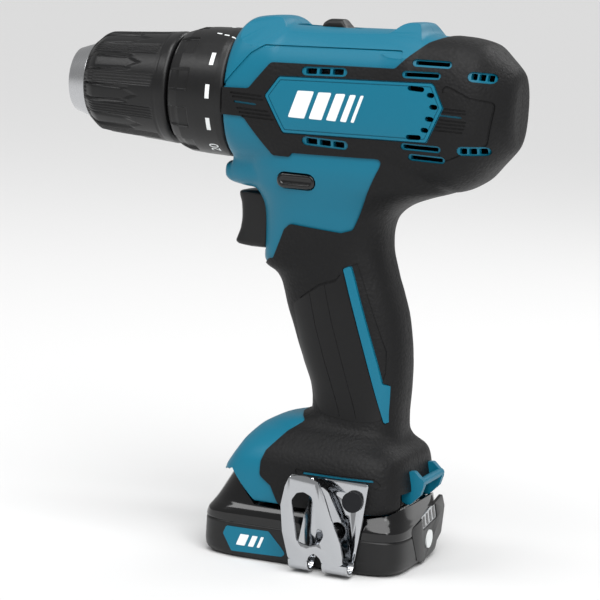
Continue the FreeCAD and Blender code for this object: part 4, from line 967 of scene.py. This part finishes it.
class DRILL_OT_chuck(bpy.types.Operator):
    """Chuck sleeve with its ribbed bands and flutes"""
    bl_idname = "drill.chuck"
    bl_label = "Chuck sleeve"

    def execute(self, context):
        front, rear = SLEEVE_LOW[0], SLEEVE_HIGH[0]
        turns = 760
        outer_x = np.concatenate([np.linspace(front, front + 6, 18), np.linspace(front + 6.6, rear - 9, 56),
                                  np.linspace(rear - 8.6, rear, 16)])
        base = through([
            (front, 15.5), (front + 0.4, 16.2), (front + 1.0, 16.8), (front + 4.8, 19.6), (front + 5.9, 20.0),
            (front + 15, 20.6), (front + 27, 21.3), (rear - 4.0, 21.9), (rear - 1.6, 22.1),
            (rear - 0.5, 21.7),
            (rear, 20.9)], outer_x)[:, 1]
        angle = np.linspace(0, 2 * math.pi, turns, endpoint=False)
        x, theta = np.meshgrid(outer_x, angle, indexing="ij")
        p = phase_of(theta, 10, -0.25)
        away = np.abs(p)
        along = np.clip((x - (front + 3.0)) / 23.0, 0, 1)
        ribbed = bump(x, front + 4.0, rear - 6.4, 1.0) * bump(p, -0.185, 0.185, 0.03)
        lines = ribbed * 0.32 * (0.5 + 0.5 * np.cos(2 * math.pi * p / 0.093))
        groove = np.exp(-((away - 0.25 - 0.05 * along) / 0.045) ** 2)
        groove *= 1.25 * bump(x, front + 1.6, front + 21, 3.0) * (1 - 0.65 * along)
        valley_end = front + 25 - 32 * np.abs(0.5 - away)
        valley = 0.55 * bump(away, 0.3, 0.8, 0.06) * bump(x, front + 1.6, 400, 1.2)
        valley *= 1 - bump(x, valley_end, 400, 4.0)
        knurl = 0.22 * bump(x, front + 0.8, front + 2.4, 0.4) * (0.5 + 0.5 * np.cos(theta * 70))
        lip = 0.25 * bump(x, rear - 5.4, rear - 5.0, 0.5)
        outer_r = base[:, None] - lines - groove - valley - knurl - lip
        nut_front = span("chuck_nut_ring")[0][0]
        inner = np.array([(rear, 19.0), (nut_front, 19.0), (nut_front, 15.25), (front, 15.25)])
        stations = np.concatenate([outer_x, inner[:, 0]])
        radii = np.concatenate([outer_r, np.broadcast_to(inner[:, 1:], (4, turns))])
        sleeve = around_axis("sleeve", stations, radii, turns)
        finish(sleeve, "Nylon, black moulded", "chuck_sleeve", ["chuck_sleeve"], sharp=50)
        return {"FINISHED"}


def wrapped(points, centre_x, centre_angle, radius):
    """Flat art carried onto the ring: u runs up the side (against the angle), v runs towards the nose,
    w is height over the surface."""
    u, v, w = points[:, 0], points[:, 1], points[:, 2]
    x = centre_x - v
    reach = radius(x) + w
    angle = centre_angle - u / reach
    return np.column_stack([x, -reach * np.cos(angle), AXIS_Z - reach * np.sin(angle)])


def ring_radius(x):
    """Smooth rear band of the torque ring."""
    front, rear = RING_LOW[0], RING_HIGH[0]
    return np.interp(x, [front, front + 5, front + 12, rear - 3.2, rear - 0.8, rear],
                     [22.6, 24.4, 24.9, 25.2, 24.9, 24.3])


class DRILL_OT_torque_ring(bpy.types.Operator):
    """Torque ring with its pockets, marks and numbers"""
    bl_idname = "drill.torque_ring"
    bl_label = "Torque ring"

    def execute(self, context):
        front, rear = RING_LOW[0], RING_HIGH[0]
        turns = 640
        outer_x = np.concatenate([np.linspace(front, front + 11.5, 56), np.linspace(front + 12, rear, 34)])
        angle = np.linspace(0, 2 * math.pi, turns, endpoint=False)
        x, theta = np.meshgrid(outer_x, angle, indexing="ij")
        p = phase_of(theta, 10, -0.32)
        pocket = bump(x, front + 1.0, front + 9.3, 0.45) * bump(p, -0.27, 0.27, 0.045)
        floor = 0.95 - 0.5 * bump(x, front - 9, front + 2.4, 3.0)
        nose = through([(front, 1.2), (front + 0.6, 0.45), (front + 1.4, 0.1), (front + 2.4, 0.0),
                        (rear, 0.0)],
                       outer_x)[:, 1]
        radii = ring_radius(x) - pocket * floor - nose[:, None]
        tube = 12.58
        inner = np.array([(rear, 19.1), (front + 4, 19.1), (front + 4, tube), (front, tube)])
        stations = np.concatenate([outer_x, inner[:, 0]])
        radii = np.concatenate([radii, np.broadcast_to(inner[:, 1:], (4, turns))])
        ring = around_axis("torque_ring_cover", stations, radii, turns)
        finish(ring, "Nylon, black moulded", "torque_ring", ["torque_ring"], sharp=50)
        self.marks()
        return {"FINISHED"}

    def marks(self):
        """A drill symbol, then bars and torque numbers in turn; each mark is a thin patch on the ring."""
        centre_x = RING_HIGH[0] - 6.0
        step = math.radians(30.0)
        first = math.radians(-62.0)
        patches = []
        numbers = {4: "20", 6: "15", 8: "10", 10: "5"}
        for place in range(12):
            at = first + place * step
            if place == 0:
                for low, high in ((-1.6, -0.9), (-0.5, 0.2), (0.6, 1.3)):
                    patches.append(self.patch([(low, -1.1), (high, -1.1), (high + 0.5, 1.1),
                                               (low + 0.5, 1.1)],
                                              centre_x + 1.0, at, (high + low) * 1.6))
                continue
            if place in numbers:
                patches.append(self.number(numbers[place], centre_x, at))
            else:
                patches.append(self.patch([(-2.7, -0.85), (2.7, -0.85), (2.7, 0.85), (-2.7, 0.85)], centre_x,
                                          at))
        marks = join("torque_marks", patches)
        finish(marks, "Ink, pad-printed white", "torque_ring")

    def patch(self, outline, centre_x, at, shift=0.0):
        """A small plate with a four-sided outline, curved with the ring: corners mixed over a grid."""
        a, b, c, d = (np.array(corner, float) for corner in outline)
        s, t = np.meshgrid(np.linspace(0, 1, 9), np.linspace(0, 1, 3), indexing="ij")
        s, t = s.reshape(-1, 1), t.reshape(-1, 1)
        flat = (1 - s) * (1 - t) * a + s * (1 - t) * b + s * t * c + (1 - s) * t * d
        flat[:, 1] += shift
        top = wrapped(np.column_stack([flat, np.full(len(flat), 0.07)]), centre_x, at, ring_radius)
        low = wrapped(np.column_stack([flat, np.full(len(flat), -0.25)]), centre_x, at, ring_radius)
        count = len(top)
        index = np.arange(count).reshape(9, 3)
        faces = grid_faces(9, 3, closed=False)
        faces += [[count + v for v in reversed(face)] for face in grid_faces(9, 3, closed=False)]
        edge = np.concatenate([index[:, 0], index[-1, 1:], index[-2::-1, -1], index[0, -2:0:-1]])
        after = np.roll(edge, -1)
        faces += np.column_stack([edge, after, after + count, edge + count]).tolist()
        made = mesh_object("patch", np.concatenate([top, low]), faces)
        outwards(made)
        return made

    def number(self, text, centre_x, at):
        """A number set flat, cut fine enough to bend, then carried onto the ring."""
        curve = bpy.data.curves.new("number", "FONT")
        curve.body = text
        curve.size = 5.6
        curve.extrude = 0.16
        curve.align_x = "CENTER"
        curve.align_y = "CENTER"
        holder = bpy.data.objects.new("number", curve)
        bpy.context.scene.collection.objects.link(holder)
        bpy.context.view_layer.update()
        mesh = bpy.data.meshes.new_from_object(holder)
        bpy.data.objects.remove(holder)
        work = bmesh.new()
        work.from_mesh(mesh)
        bmesh.ops.remove_doubles(work, verts=work.verts, dist=1e-4)
        for cut in np.linspace(-3.5, 3.5, 11):
            geometry = work.verts[:] + work.edges[:] + work.faces[:]
            bmesh.ops.bisect_plane(work, geom=geometry, plane_co=(cut, 0, 0), plane_no=(1, 0, 0), dist=1e-5)
        work.to_mesh(mesh)
        work.free()
        points = np.empty(len(mesh.vertices) * 3)
        mesh.vertices.foreach_get("co", points)
        flat = points.reshape(-1, 3) * [1, 1, 1] + [0, 0, -0.09]
        mesh.vertices.foreach_set("co", (wrapped(flat, centre_x, at, ring_radius) * MM).ravel())
        mesh.update()
        made = bpy.data.objects.new("number", mesh)
        bpy.context.scene.collection.objects.link(made)
        outwards(made)
        return made


# ---------------------------------------------------------------------------------------------
# Trigger, lever and speed selector
# ---------------------------------------------------------------------------------------------
class DRILL_OT_controls(bpy.types.Operator):
    """Trigger, forward and reverse lever, and two-speed selector"""
    bl_idname = "drill.controls"
    bl_label = "Controls"

    def execute(self, context):
        low, high = span("trigger")
        rows = [
            (low[2], -38.0, -28.0, 7.0, 3.6), (low[2] + 0.7, -41.9, -27.4, 8.6, 4.2),
            (low[2] + 1.8, -42.75, -27.4, 9.0, 4.6),
            (low[2] + 3.6, -42.2, -27.4, 9.0, 4.6), (low[2] + 7, -41.1, -27.4, 9.0, 4.6),
            (low[2] + 11, -40.7, -27.4, 9.0, 4.6),
            (low[2] + 16.5, -41.2, -27.4, 9.0, 4.6), (low[2] + 20.6, -42.4, -27.4, 9.0, 4.4),
            (high[2] - 0.5, -42.3, -27.4, 8.7, 4.2),
            (high[2], -40.5, -28.0, 7.6, 3.6),
        ]
        trigger = skin("trigger_cover", upright_sections(rows, 0.0, 70))
        middle = AXIS_Z - 48
        combine(trigger, box("pocket", (-36, -7, middle - 8), (-20, 7, middle + 7)), "DIFFERENCE")
        combine(trigger, cylinder("plunger", (-37, 0, middle), 2.5, 25, "x"), "UNION")
        finish(trigger, "ABS, etched black", "trigger", ["trigger"], sharp=40)

        low, high = span("direction_lever")
        middle = (low[2] + high[2]) / 2
        half, reach, length = (high[2] - low[2]) / 2, high[1], high[0] - low[0]
        rows = [(2.1, -0.55), (2.0, -0.5), (1.75, -0.15), (1.3, 0.0), (0.75, -0.1), (0.3, -0.4), (0.05, -0.9),
                (0.0, -1.6)]
        sections = []
        for side in (-1, 1):
            half_rows = []
            for inset, sink in rows:
                outline = pill((low[0] + inset, middle), (low[0] + length - inset, middle),
                               2 * (half - inset), 16)
                y = side * (reach + sink)
                half_rows.append(np.column_stack([outline[:, 0], np.full(len(outline), y), outline[:, 1]]))
            sections.append(half_rows if side < 0 else half_rows[::-1])
        lever = skin("lever_cover", sections[0] + sections[1])
        finish(lever, "ABS, polished black", "direction_lever", ["direction_lever"], sharp=50)

        low, high = span("speed_selector")
        saddle_z = low[2]
        rows = [
            (low[0], 5.4, saddle_z + 1.9, 204.9, 5.0), (low[0] + 0.3, 5.5, saddle_z + 1.8, 205.3, 5.0),
            (low[0] + 1.2, 5.5, saddle_z + 1.8, 205.4, 5.0), (low[0] + 2.0, 5.0, saddle_z + 1.8, 207.6, 4.0),
            (low[0] + 4.2, 4.6, saddle_z + 1.8, 208.8, 3.4), (low[0] + 8.6, 4.6, saddle_z + 1.8, 208.9, 3.4),
            (low[0] + 10.6, 5.0, saddle_z + 1.8, 207.0, 3.8), (low[0] + 12.0, 5.5, saddle_z + 1.8, 205.4,
                                                               5.0),
            (high[0], 5.4, saddle_z + 1.9, 205.0, 5.0),
        ]
        x, half_y, bottom, top, power = through(rows, np.linspace(low[0], high[0], 60)).T
        y, z = superellipse(half_y, bottom, top, power, 64)
        knob = skin("selector_cover", np.stack([np.broadcast_to(x[:, None], y.shape), y, z], axis=-1))
        foot = box("foot", (low[0] + 4.6, -3.9, saddle_z + 0.05), (low[0] + 9.4, 3.9, saddle_z + 2.4))
        combine(foot, cylinder("seat", (low[0] + 7.0, -6, saddle_z + 0.45), 1.0, 12, "y"), "DIFFERENCE")
        combine(knob, foot, "UNION")
        finish(knob, "ABS, etched black", "speed_slide", ["speed_selector"], sharp=40)
        return {"FINISHED"}


# ---------------------------------------------------------------------------------------------
# Battery
# ---------------------------------------------------------------------------------------------
LABEL = [(-30.7, 9.2), (-29.5, 12.2), (-11.9, 12.4), (-6.0, 6.4), (-4.5, 4.4), (-6.0, 3.2), (-26.8, 2.7)]
GAUGE = [(-2.2, 19.5), (13.5, 22.5), (17.1, 16.2), (0.4, 14.0)]


def facing_rear(name, outline, low_x, high_x):
    """A rear-view outline, as (y, z), carried along X."""
    outline = np.asarray(outline, float)
    count = len(outline)
    points = [np.column_stack([np.full(count, x), outline]) for x in (low_x, high_x)]
    faces = grid_faces(2, count)
    faces.append(list(range(count)))
    faces.append(list(range(count, 2 * count))[::-1])
    made = mesh_object(name, np.concatenate(points), faces)
    outwards(made)
    return made


def softened(made, width, segments=2, angle=30.0):
    """Rounds the sharp edges of a piece."""
    step = made.modifiers.new("Soft edges", "BEVEL")
    step.width = width * MM
    step.segments = segments
    step.limit_method = "ANGLE"
    step.angle_limit = math.radians(angle)
    step.use_clamp_overlap = True
    return applied(made)


class DRILL_OT_battery(bpy.types.Operator):
    """Battery cases, gauge, labels and release button"""
    bl_idname = "drill.battery"
    bl_label = "Battery"

    def execute(self, context):
        front, rear, half = PACK_LOW[0], PACK_HIGH[0], PACK_HIGH[1]
        rows = [
            (0.0, front + 4.0, rear - 4.0, half - 3.6, 5.4), (0.5, front + 2.2, rear - 2.2, half - 1.9, 5.6),
            (1.5, front + 1.0, rear - 1.0, half - 0.8, 5.8), (3.0, front + 0.4, rear - 0.4, half - 0.3, 6.0),
            (6.0, front + 0.1, rear - 0.1, half, 6.0), (SPLIT_Z - 0.7, front + 0.1, rear - 0.1, half, 6.0),
            (SPLIT_Z - 0.35, front + 0.35, rear - 0.35, half - 0.2, 6.0),
            (SPLIT_Z - 0.05, front + 0.5, rear - 0.5, half - 0.4, 6.0),
        ]
        lower = skin("pack_lower", upright_sections(rows, 0.0, 56))
        button_y, button_z = 7.8, 9.3
        notch_x = rear - 0.7
        outline = rounded([(-14.9, 17), (-4.1, 18.5), (21.8, 24.6), (26, 19.2), (23.9, 8.8), (21.3, 7.5),
                           (20, 6.8),
                           (3.3, 0.9), (-5, 3)], 1.6)
        shadow = facing_rear("shadow", grown(outline, 0.5), notch_x, rear + 4)
        combine(lower, shadow, "DIFFERENCE", drop=False)
        combine(lower, cylinder("cells", (-34, 0, 11.6), 9.3, 68, "x"), "DIFFERENCE")
        hole = cylinder("hole", (rear - 5, button_y, button_z), 3.8, 9, "x")
        combine(lower, hole, "DIFFERENCE", drop=False)
        finish(lower, "ABS, etched black", "battery", ["battery_case_lower"], sharp=40)

        rows = [
            (SPLIT_Z, front + 0.35, rear - 0.35, half - 0.2, 6.0), (SPLIT_Z + 0.5, front + 0.02, rear - 0.02,
                                                                    half, 6.0),
            (SPLIT_Z + 3.0, front + 0.6, rear - 0.02, half, 6.0), (SPLIT_Z + 5.2, front + 1.9, rear - 0.5,
                                                                   half - 0.7, 5.6),
            (SPLIT_Z + 7.2, front + 3.0, rear - 1.0, half - 1.9, 5.2), (SPLIT_Z + 9.0, front + 3.9,
                                                                        rear - 1.3, half - 2.6, 5.0),
            (SPLIT_Z + 13.0, front + 6.0, rear - 1.9, half - 3.4, 4.8),
            (SPLIT_Z + 19.0, front + 9.2, rear - 2.6, half - 4.6, 4.6),
        ]
        upper = skin("pack_upper", upright_sections(rows, 0.0, 60))
        keep = prism("keep", rounded([
            (front - 2, SPLIT_Z - 1), (front - 2, DECK_Z + 10), (-33.6, DECK_Z + 10.2),
            (-31.6, DECK_Z + 10.6),
            (-19.4, DECK_Z - 0.8), (-9, DECK_Z - 1.3), (27.2, DECK_Z - 0.3), (34, DECK_Z + 1.2),
            (38.2, DECK_Z + 3.6),
            (rear + 2, DECK_Z + 3.6), (rear + 2, SPLIT_Z - 1)], 0.8), -60, 60)
        combine(upper, keep, "INTERSECT")
        rail = box("rail", (-20, -20, DECK_Z - 6), (21.5, 20, span("battery_case_upper")[1][2] - 1.8))
        combine(upper, rail, "UNION")
        combine(upper, box("way", (front - 1, -11.3, DECK_Z - 1.3), (front + 11.3, 11.3, DECK_Z + 20)),
                "DIFFERENCE")
        combine(upper, box("board_way", (-17, -18, DECK_Z + 1.0), (20, 18, DECK_Z + 8.0)), "DIFFERENCE")
        for y in (-10, -3.5, 3.5, 10):
            combine(upper, box("slot", (9, y - 0.8, DECK_Z + 1.0), (23, y + 0.8, DECK_Z + 6.2)), "DIFFERENCE")
        combine(upper, shadow, "DIFFERENCE")
        finish(upper, "ABS, polished black", "battery", ["battery_case_upper"], sharp=34)

        block = facing_rear("gauge_block", outline, notch_x - 0.6, rear - 0.05)
        combine(block, facing_rear("window", rounded(GAUGE, 0.8), rear - 0.6, rear + 3), "DIFFERENCE")
        combine(block, hole, "DIFFERENCE")
        softened(block, 0.3)
        finish(block, "ABS, etched black", "battery", sharp=40)

        a, b, c, d = (np.array(corner, float) for corner in GAUGE)
        bars = []
        for share in (0.08, 0.31, 0.54, 0.77):
            s = [share, share + 0.15]
            corner = [a + (b - a) * s[0], a + (b - a) * s[1], d + (c - d) * s[1], d + (c - d) * s[0]]
            middle = sum(corner) / 4
            bars.append(facing_rear("bar", rounded([middle + (point - middle) * 0.78 for point in corner],
                                                   0.3),
                                    rear - 0.7, rear - 0.32))
        glass = facing_rear("gauge_glass", rounded(GAUGE, 0.8), rear - 0.9, rear - 0.45)
        finish(glass, "Silver paint", "battery")
        finish(join("gauge_bars", bars), "ABS, polished black", "battery")

        labels = []
        for low_y, high_y in ((-half - 0.12, -half + 0.5), (half - 0.5, half + 0.12)):
            labels.append(prism("label", rounded(LABEL, 0.9), low_y, high_y))
        finish(join("side_labels", labels), "Nylon shell, spark-eroded", "battery")

        marks = []
        for low_y, high_y in ((-half - 0.2, -half), (half, half + 0.2)):
            for start, end in ((-25.0, -21.4), (-20.0, -17.8), (-16.4, -15.2)):
                slant = [(start, 5.4), (end, 5.4), (end + 1.7, 9.8), (start + 1.7, 9.8)]
                marks.append(prism("mark", rounded(slant, 0.3), low_y, high_y))
        finish(join("label_marks", marks), "Ink, pad-printed white", "battery")

        low, high = span("latch_button")
        button = prism("release_button", rounded([
            (low[0], low[2]), (low[0] + 1.4, low[2] + 3), (low[0] + 4.2, high[2]), (high[0], high[2]),
            (high[0], low[2])],
            0.5), low[1] + 0.1, high[1] - 0.1)
        grips = [prism("grip_line", pill((low[0] + s, low[2] + 2.0 + s * 1.55),
                                         (low[0] + s + 0.1, low[2] + 2.3 + s * 1.55), 0.7),
                       low[1] + 2, high[1] - 2) for s in (0.6, 1.6, 2.6)]
        combine(button, join("grip_lines", grips), "DIFFERENCE")
        softened(button, 0.25)
        finish(button, "ABS, etched black", "latch_button", ["latch_button"], sharp=40)
        return {"FINISHED"}


# ---------------------------------------------------------------------------------------------
# Belt clip and strap loop
# ---------------------------------------------------------------------------------------------
class DRILL_OT_clip(bpy.types.Operator):
    """Bent steel belt clip and the moulded strap loop"""
    bl_idname = "drill.clip"
    bl_label = "Belt clip and strap loop"

    def execute(self, context):
        low, high = span("belt_clip")
        thick = 1.1
        inner_y, outer_y = high[1], low[1]
        radius = (inner_y - outer_y) / 2
        bend_z = low[2] + radius
        outer_leaf = rounded([
            (0.4, bend_z), (8.2, bend_z), (8.4, 7.2), (10.6, 9.2), (13.2, 7.2), (14.0, bend_z),
            (22.3, bend_z), (22.1, 9.0),
            (20.9, 14.0), (16.8, 22.6), (13.4, 31.0), (10.4, 36.4), (6.7, 37.9), (2.0, 38.0), (-1.2, 37.0),
            (-2.7, 33.3),
            (-4.0, 25.8), (-2.7, 15.6)], 1.6, 6)
        leaf = prism("outer_leaf", outer_leaf, outer_y, outer_y + thick)
        slot = rounded([(0.2, 28.2), (2.2, 31.3), (5.0, 32.0), (8.2, 30.6), (14.2, 16.2), (12.4, 12.6),
                        (8.0, 11.4), (3.3, 12.6)],
                       2.2, 7)
        combine(leaf, prism("slot", slot, outer_y - 2, outer_y + thick + 2), "DIFFERENCE")
        inner_leaf = rounded([
            (0.4, bend_z), (24.2, bend_z), (25.4, 14.0), (26.7, 24.3), (28.0, DECK_Z + 14),
            (6.5, DECK_Z + 14), (3.0, 22.0)], 1.2)
        back = prism("inner_leaf", inner_leaf, inner_y - thick, inner_y)
        holes = join("holes", [cylinder("hole", (16.7, inner_y - 5, 17.0), 3.4, 8, "y"),
                               cylinder("screw_hole", (22.4, inner_y - 5, DECK_Z + 6.8), 1.9, 8, "y"),
                               prism("notch", rounded([(8.4, bend_z - 1), (8.6, 8.0), (13.2, 8.0),
                                                       (13.8, bend_z - 1)], 1.5),
                                     inner_y - 4, inner_y + 2)])
        combine(back, holes, "DIFFERENCE")
        clip = leaf
        combine(clip, back, "UNION")
        for start, end in ((0.4, 8.2), (14.0, 24.2)):
            combine(clip, self.bend(start, end, (inner_y + outer_y) / 2, bend_z + 0.01, radius, thick),
                    "UNION")
        combine(clip, self.curl(-1.4, 9.2, outer_y, 37.6, thick), "UNION")
        softened(clip, 0.22, 2, 40)
        finish(clip, "Chrome on spring steel", "housing", ["belt_clip"], sharp=35)

        low, high = span("strap_loop")
        lug = [(low[0] - 0.8, low[2] - 4.6), (low[0] - 0.8, high[2] - 0.6), (low[0] + 3.6, high[2]),
               (high[0] - 1.4, high[2] - 2.6),
               (high[0], high[2] - 4.8), (high[0] - 1.2, low[2] - 1.4), (low[0] + 2.4, low[2] - 5.8)]
        loop = prism("loop", rounded(lug, 1.6, 7), -11.4, -8.6)
        combine(loop, prism("lug", rounded(lug, 1.6, 7), 11.4, 14.2), "UNION")
        combine(loop, cylinder("bar", (high[0] - 1.75, -11.4, high[2] - 4.2), 1.65, 25.6, "y", 32), "UNION")
        softened(loop, 0.3)
        finish(loop, "Nylon shell, spark-eroded", "housing", ["strap_loop"], sharp=40)
        return {"FINISHED"}

    def bend(self, start, end, mid_y, top_z, radius, thick):
        """Half a turn of strip: a flat section carried round a half circle below the two leaves."""
        turn = np.linspace(math.pi, 2 * math.pi, 25)
        sections = []
        for angle in turn:
            c, s = math.cos(angle), math.sin(angle)
            outer, inner = radius, radius - thick
            sections.append([(start, mid_y + outer * c, top_z + outer * s),
                             (end, mid_y + outer * c, top_z + outer * s),
                             (end, mid_y + inner * c, top_z + inner * s),
                             (start, mid_y + inner * c, top_z + inner * s)])
        return skin("bend", sections)

    def curl(self, start, end, y, z, thick):
        """The lip that the clip's free end is turned over to: a quarter circle towards the tool."""
        turn = np.linspace(0, math.pi / 2, 12)
        sections = []
        radius = 1.6
        for angle in turn:
            c, s = math.cos(angle), math.sin(angle)
            for_y, for_z = y + radius, z - 1.2
            outer, inner = radius, radius - thick
            sections.append([(start + 0.9 * s, for_y - outer * c, for_z + outer * s),
                             (end - 0.9 * s, for_y - outer * c, for_z + outer * s),
                             (end - 0.9 * s, for_y - inner * c, for_z + inner * s),
                             (start + 0.9 * s, for_y - inner * c, for_z + inner * s)])
        return skin("curl", sections)


# ---------------------------------------------------------------------------------------------
# Finishes of the working parts
# ---------------------------------------------------------------------------------------------
NODE_FINISH = {
    "Steel, turned": ["chuck_body", "spindle", "front_bearing", "armature_shaft",
                      "clutch_pins", "clutch_thrust_washer"],
    "Steel, dark oiled": ["chuck_jaw_1", "chuck_jaw_2", "chuck_jaw_3", "chuck_nut_ring", "chuck_screw",
                          "motor_can",
                          "housing_screws", "clip_screw", "armature_core", "shift_wire"],
    "Steel, sintered": ["ring_gear_1", "ring_gear_2", "ring_gear_3", "carrier_1", "carrier_2", "motor_pinion",
                        "planet_gear_1a", "planet_gear_1b", "planet_gear_1c", "planet_gear_2a",
                        "planet_gear_2b",
                        "planet_gear_2c", "planet_gear_3a", "planet_gear_3b", "planet_gear_3c"],
    "Alloy, die-cast": ["gear_case"],
    "Copper, enamelled wire": ["armature_windings", "commutator"],
    "Ferrite and carbon": ["motor_magnets", "carbon_brushes"],
    "ABS, etched black": ["switch_body", "terminal_block", "motor_end_bell", "clutch_adjusting_nut"],
    "Circuit board": ["battery_board"],
    "Cell sleeve, PVC": ["battery_cells"],
    "Polycarbonate, clear": ["led_lens"],
    "Ink, pad-printed white": ["gauge_button"],
}


SPRINGS = (("trigger_spring", "trigger_pull", 6.5), ("clutch_spring", "torque_ring_turn", 6.0))


class DRILL_OT_springs(bpy.types.Operator):
    """Trigger spring and clutch spring, copied from their imported wire and tied to the housing"""
    bl_idname = "drill.springs"
    bl_label = "Springs"

    def execute(self, context):
        for node, joint, travel in SPRINGS:
            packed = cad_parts[node]
            mesh = packed.data.copy()
            mesh.transform(packed.matrix_world)
            wire = bmesh.new()
            wire.from_mesh(mesh)
            bmesh.ops.remove_doubles(wire, verts=wire.verts, dist=0.001 * MM)
            wire.to_mesh(mesh)
            wire.free()
            spring = bpy.data.objects.new(node + "_wire", mesh)
            context.scene.collection.objects.link(spring)
            finish(spring, "Steel, turned", "housing", [node], sharp=60)
            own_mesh(spring)
        return {"FINISHED"}


class DRILL_OT_finishes(bpy.types.Operator):
    """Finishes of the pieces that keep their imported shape"""
    bl_idname = "drill.finishes"
    bl_label = "Working parts"

    def execute(self, context):
        for finish_name, nodes in NODE_FINISH.items():
            for node in nodes:
                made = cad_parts[node]
                for slot in made.material_slots:
                    slot.material = material(finish_name)
                if not made.material_slots:
                    raise RuntimeError("%s has no material slot" % node)
        return {"FINISHED"}


# ---------------------------------------------------------------------------------------------
# Stage
# ---------------------------------------------------------------------------------------------
class DRILL_OT_stage(bpy.types.Operator):
    """Floor, lights and camera"""
    bl_idname = "drill.stage"
    bl_label = "Stage"

    def execute(self, context):
        stage = context.scene.drill_stage
        floor = mesh_object("floor", [(-30000, -30000, 0), (30000, -30000, 0), (30000, 30000, 0),
                                      (-30000, 30000, 0)],
                            [[0, 1, 2, 3]])
        floor.data.materials.append(material("Paper sweep"))
        world = bpy.data.worlds.new("Studio")
        world.use_nodes = True
        world.node_tree.nodes["Background"].inputs["Color"].default_value = linear("FFFFFF")
        world.node_tree.nodes["Background"].inputs["Strength"].default_value = 0.42
        context.scene.world = world
        context.scene.view_settings.view_transform = "Standard"
        target = Vector((-0.0166, 0.0, 0.0985))
        sun = bpy.data.lights.new("overhead", "SUN")
        sun.energy = 2.3
        sun.angle = math.radians(50)
        above = bpy.data.objects.new("overhead", sun)
        context.scene.collection.objects.link(above)
        above.rotation_euler = Vector((-0.32, 0.56, -0.77)).to_track_quat("-Z", "Y").to_euler()
        for name, place, size, power in (
                ("key", (-0.75, -0.75, 1.15), (0.7, 0.3), 3.5), ("fill", (0.9, -0.9, 0.5), (0.15, 0.9), 1.5),
                ("rear", (0.5, 0.9, 0.9), (0.9, 0.3), 3.5), ("top", (0.0, -0.1, 1.3), (0.7, 0.2), 4.0)):
            light = bpy.data.lights.new(name, "AREA")
            light.shape = "RECTANGLE"
            light.size, light.size_y = size
            light.energy = power
            lamp = bpy.data.objects.new(name, light)
            context.scene.collection.objects.link(lamp)
            lamp.location = place
            lamp.rotation_euler = (target - Vector(place)).to_track_quat("-Z", "Y").to_euler()
        camera = bpy.data.cameras.new("camera")
        camera.lens = stage.lens
        camera.sensor_width = 36.0
        camera.clip_start = 0.05
        camera.dof.use_dof = False
        holder = bpy.data.objects.new("camera", camera)
        context.scene.collection.objects.link(holder)
        a, e, r = stage.azimuth, stage.elevation, stage.roll
        ahead = Vector((-math.sin(a) * math.cos(e), math.cos(a) * math.cos(e), -math.sin(e)))
        right = Vector((math.cos(a), math.sin(a), 0))
        up = right.cross(ahead)
        right_rolled = right * math.cos(r) + up * math.sin(r)
        up_rolled = up * math.cos(r) - right * math.sin(r)
        back = -ahead
        holder.matrix_world = matrix_of(right_rolled, up_rolled, back, target - ahead * stage.distance)
        context.scene.camera = holder
        return {"FINISHED"}


def matrix_of(right, up, back, place):
    """A placement from its three directions and its point."""
    made = Matrix((right, up, back)).transposed().to_4x4()
    made.translation = place
    return made


class DRILL_PT_looks(bpy.types.Panel):
    """Everything that builds the drill's looks"""
    bl_idname = "DRILL_PT_looks"
    bl_label = "Cordless drill"
    bl_space_type = "VIEW_3D"
    bl_region_type = "UI"
    bl_category = "Drill"

    def draw(self, context):
        layout = self.layout
        scene = context.scene
        for group in (scene.drill_sizes, scene.drill_colours, scene.drill_stage):
            column = layout.column()
            for name in group.bl_rna.properties.keys():
                if name not in {"rna_type", "name"}:
                    column.prop(group, name)
        for step in STEPS:
            layout.operator(step.bl_idname)


STEPS = (DRILL_OT_stage, DRILL_OT_housing, DRILL_OT_chuck, DRILL_OT_torque_ring, DRILL_OT_controls,
         DRILL_OT_battery, DRILL_OT_clip, DRILL_OT_springs, DRILL_OT_finishes)
CLASSES = (DrillSizes, DrillColours, DrillStage, *STEPS, DRILL_PT_looks)


def register():
    for cls in CLASSES:
        bpy.utils.register_class(cls)
    bpy.types.Scene.drill_sizes = bpy.props.PointerProperty(type=DrillSizes)
    bpy.types.Scene.drill_colours = bpy.props.PointerProperty(type=DrillColours)
    bpy.types.Scene.drill_stage = bpy.props.PointerProperty(type=DrillStage)


def unregister():
    del bpy.types.Scene.drill_sizes
    del bpy.types.Scene.drill_colours
    del bpy.types.Scene.drill_stage
    for cls in reversed(CLASSES):
        bpy.utils.unregister_class(cls)


def main():
    register()
    bpy.ops.drill.stage()
    bpy.ops.drill.housing()
    bpy.ops.drill.chuck()
    bpy.ops.drill.torque_ring()
    bpy.ops.drill.controls()
    bpy.ops.drill.battery()
    bpy.ops.drill.clip()
    bpy.ops.drill.springs()
    bpy.ops.drill.finishes()


if __name__ == "__main__":
    main()
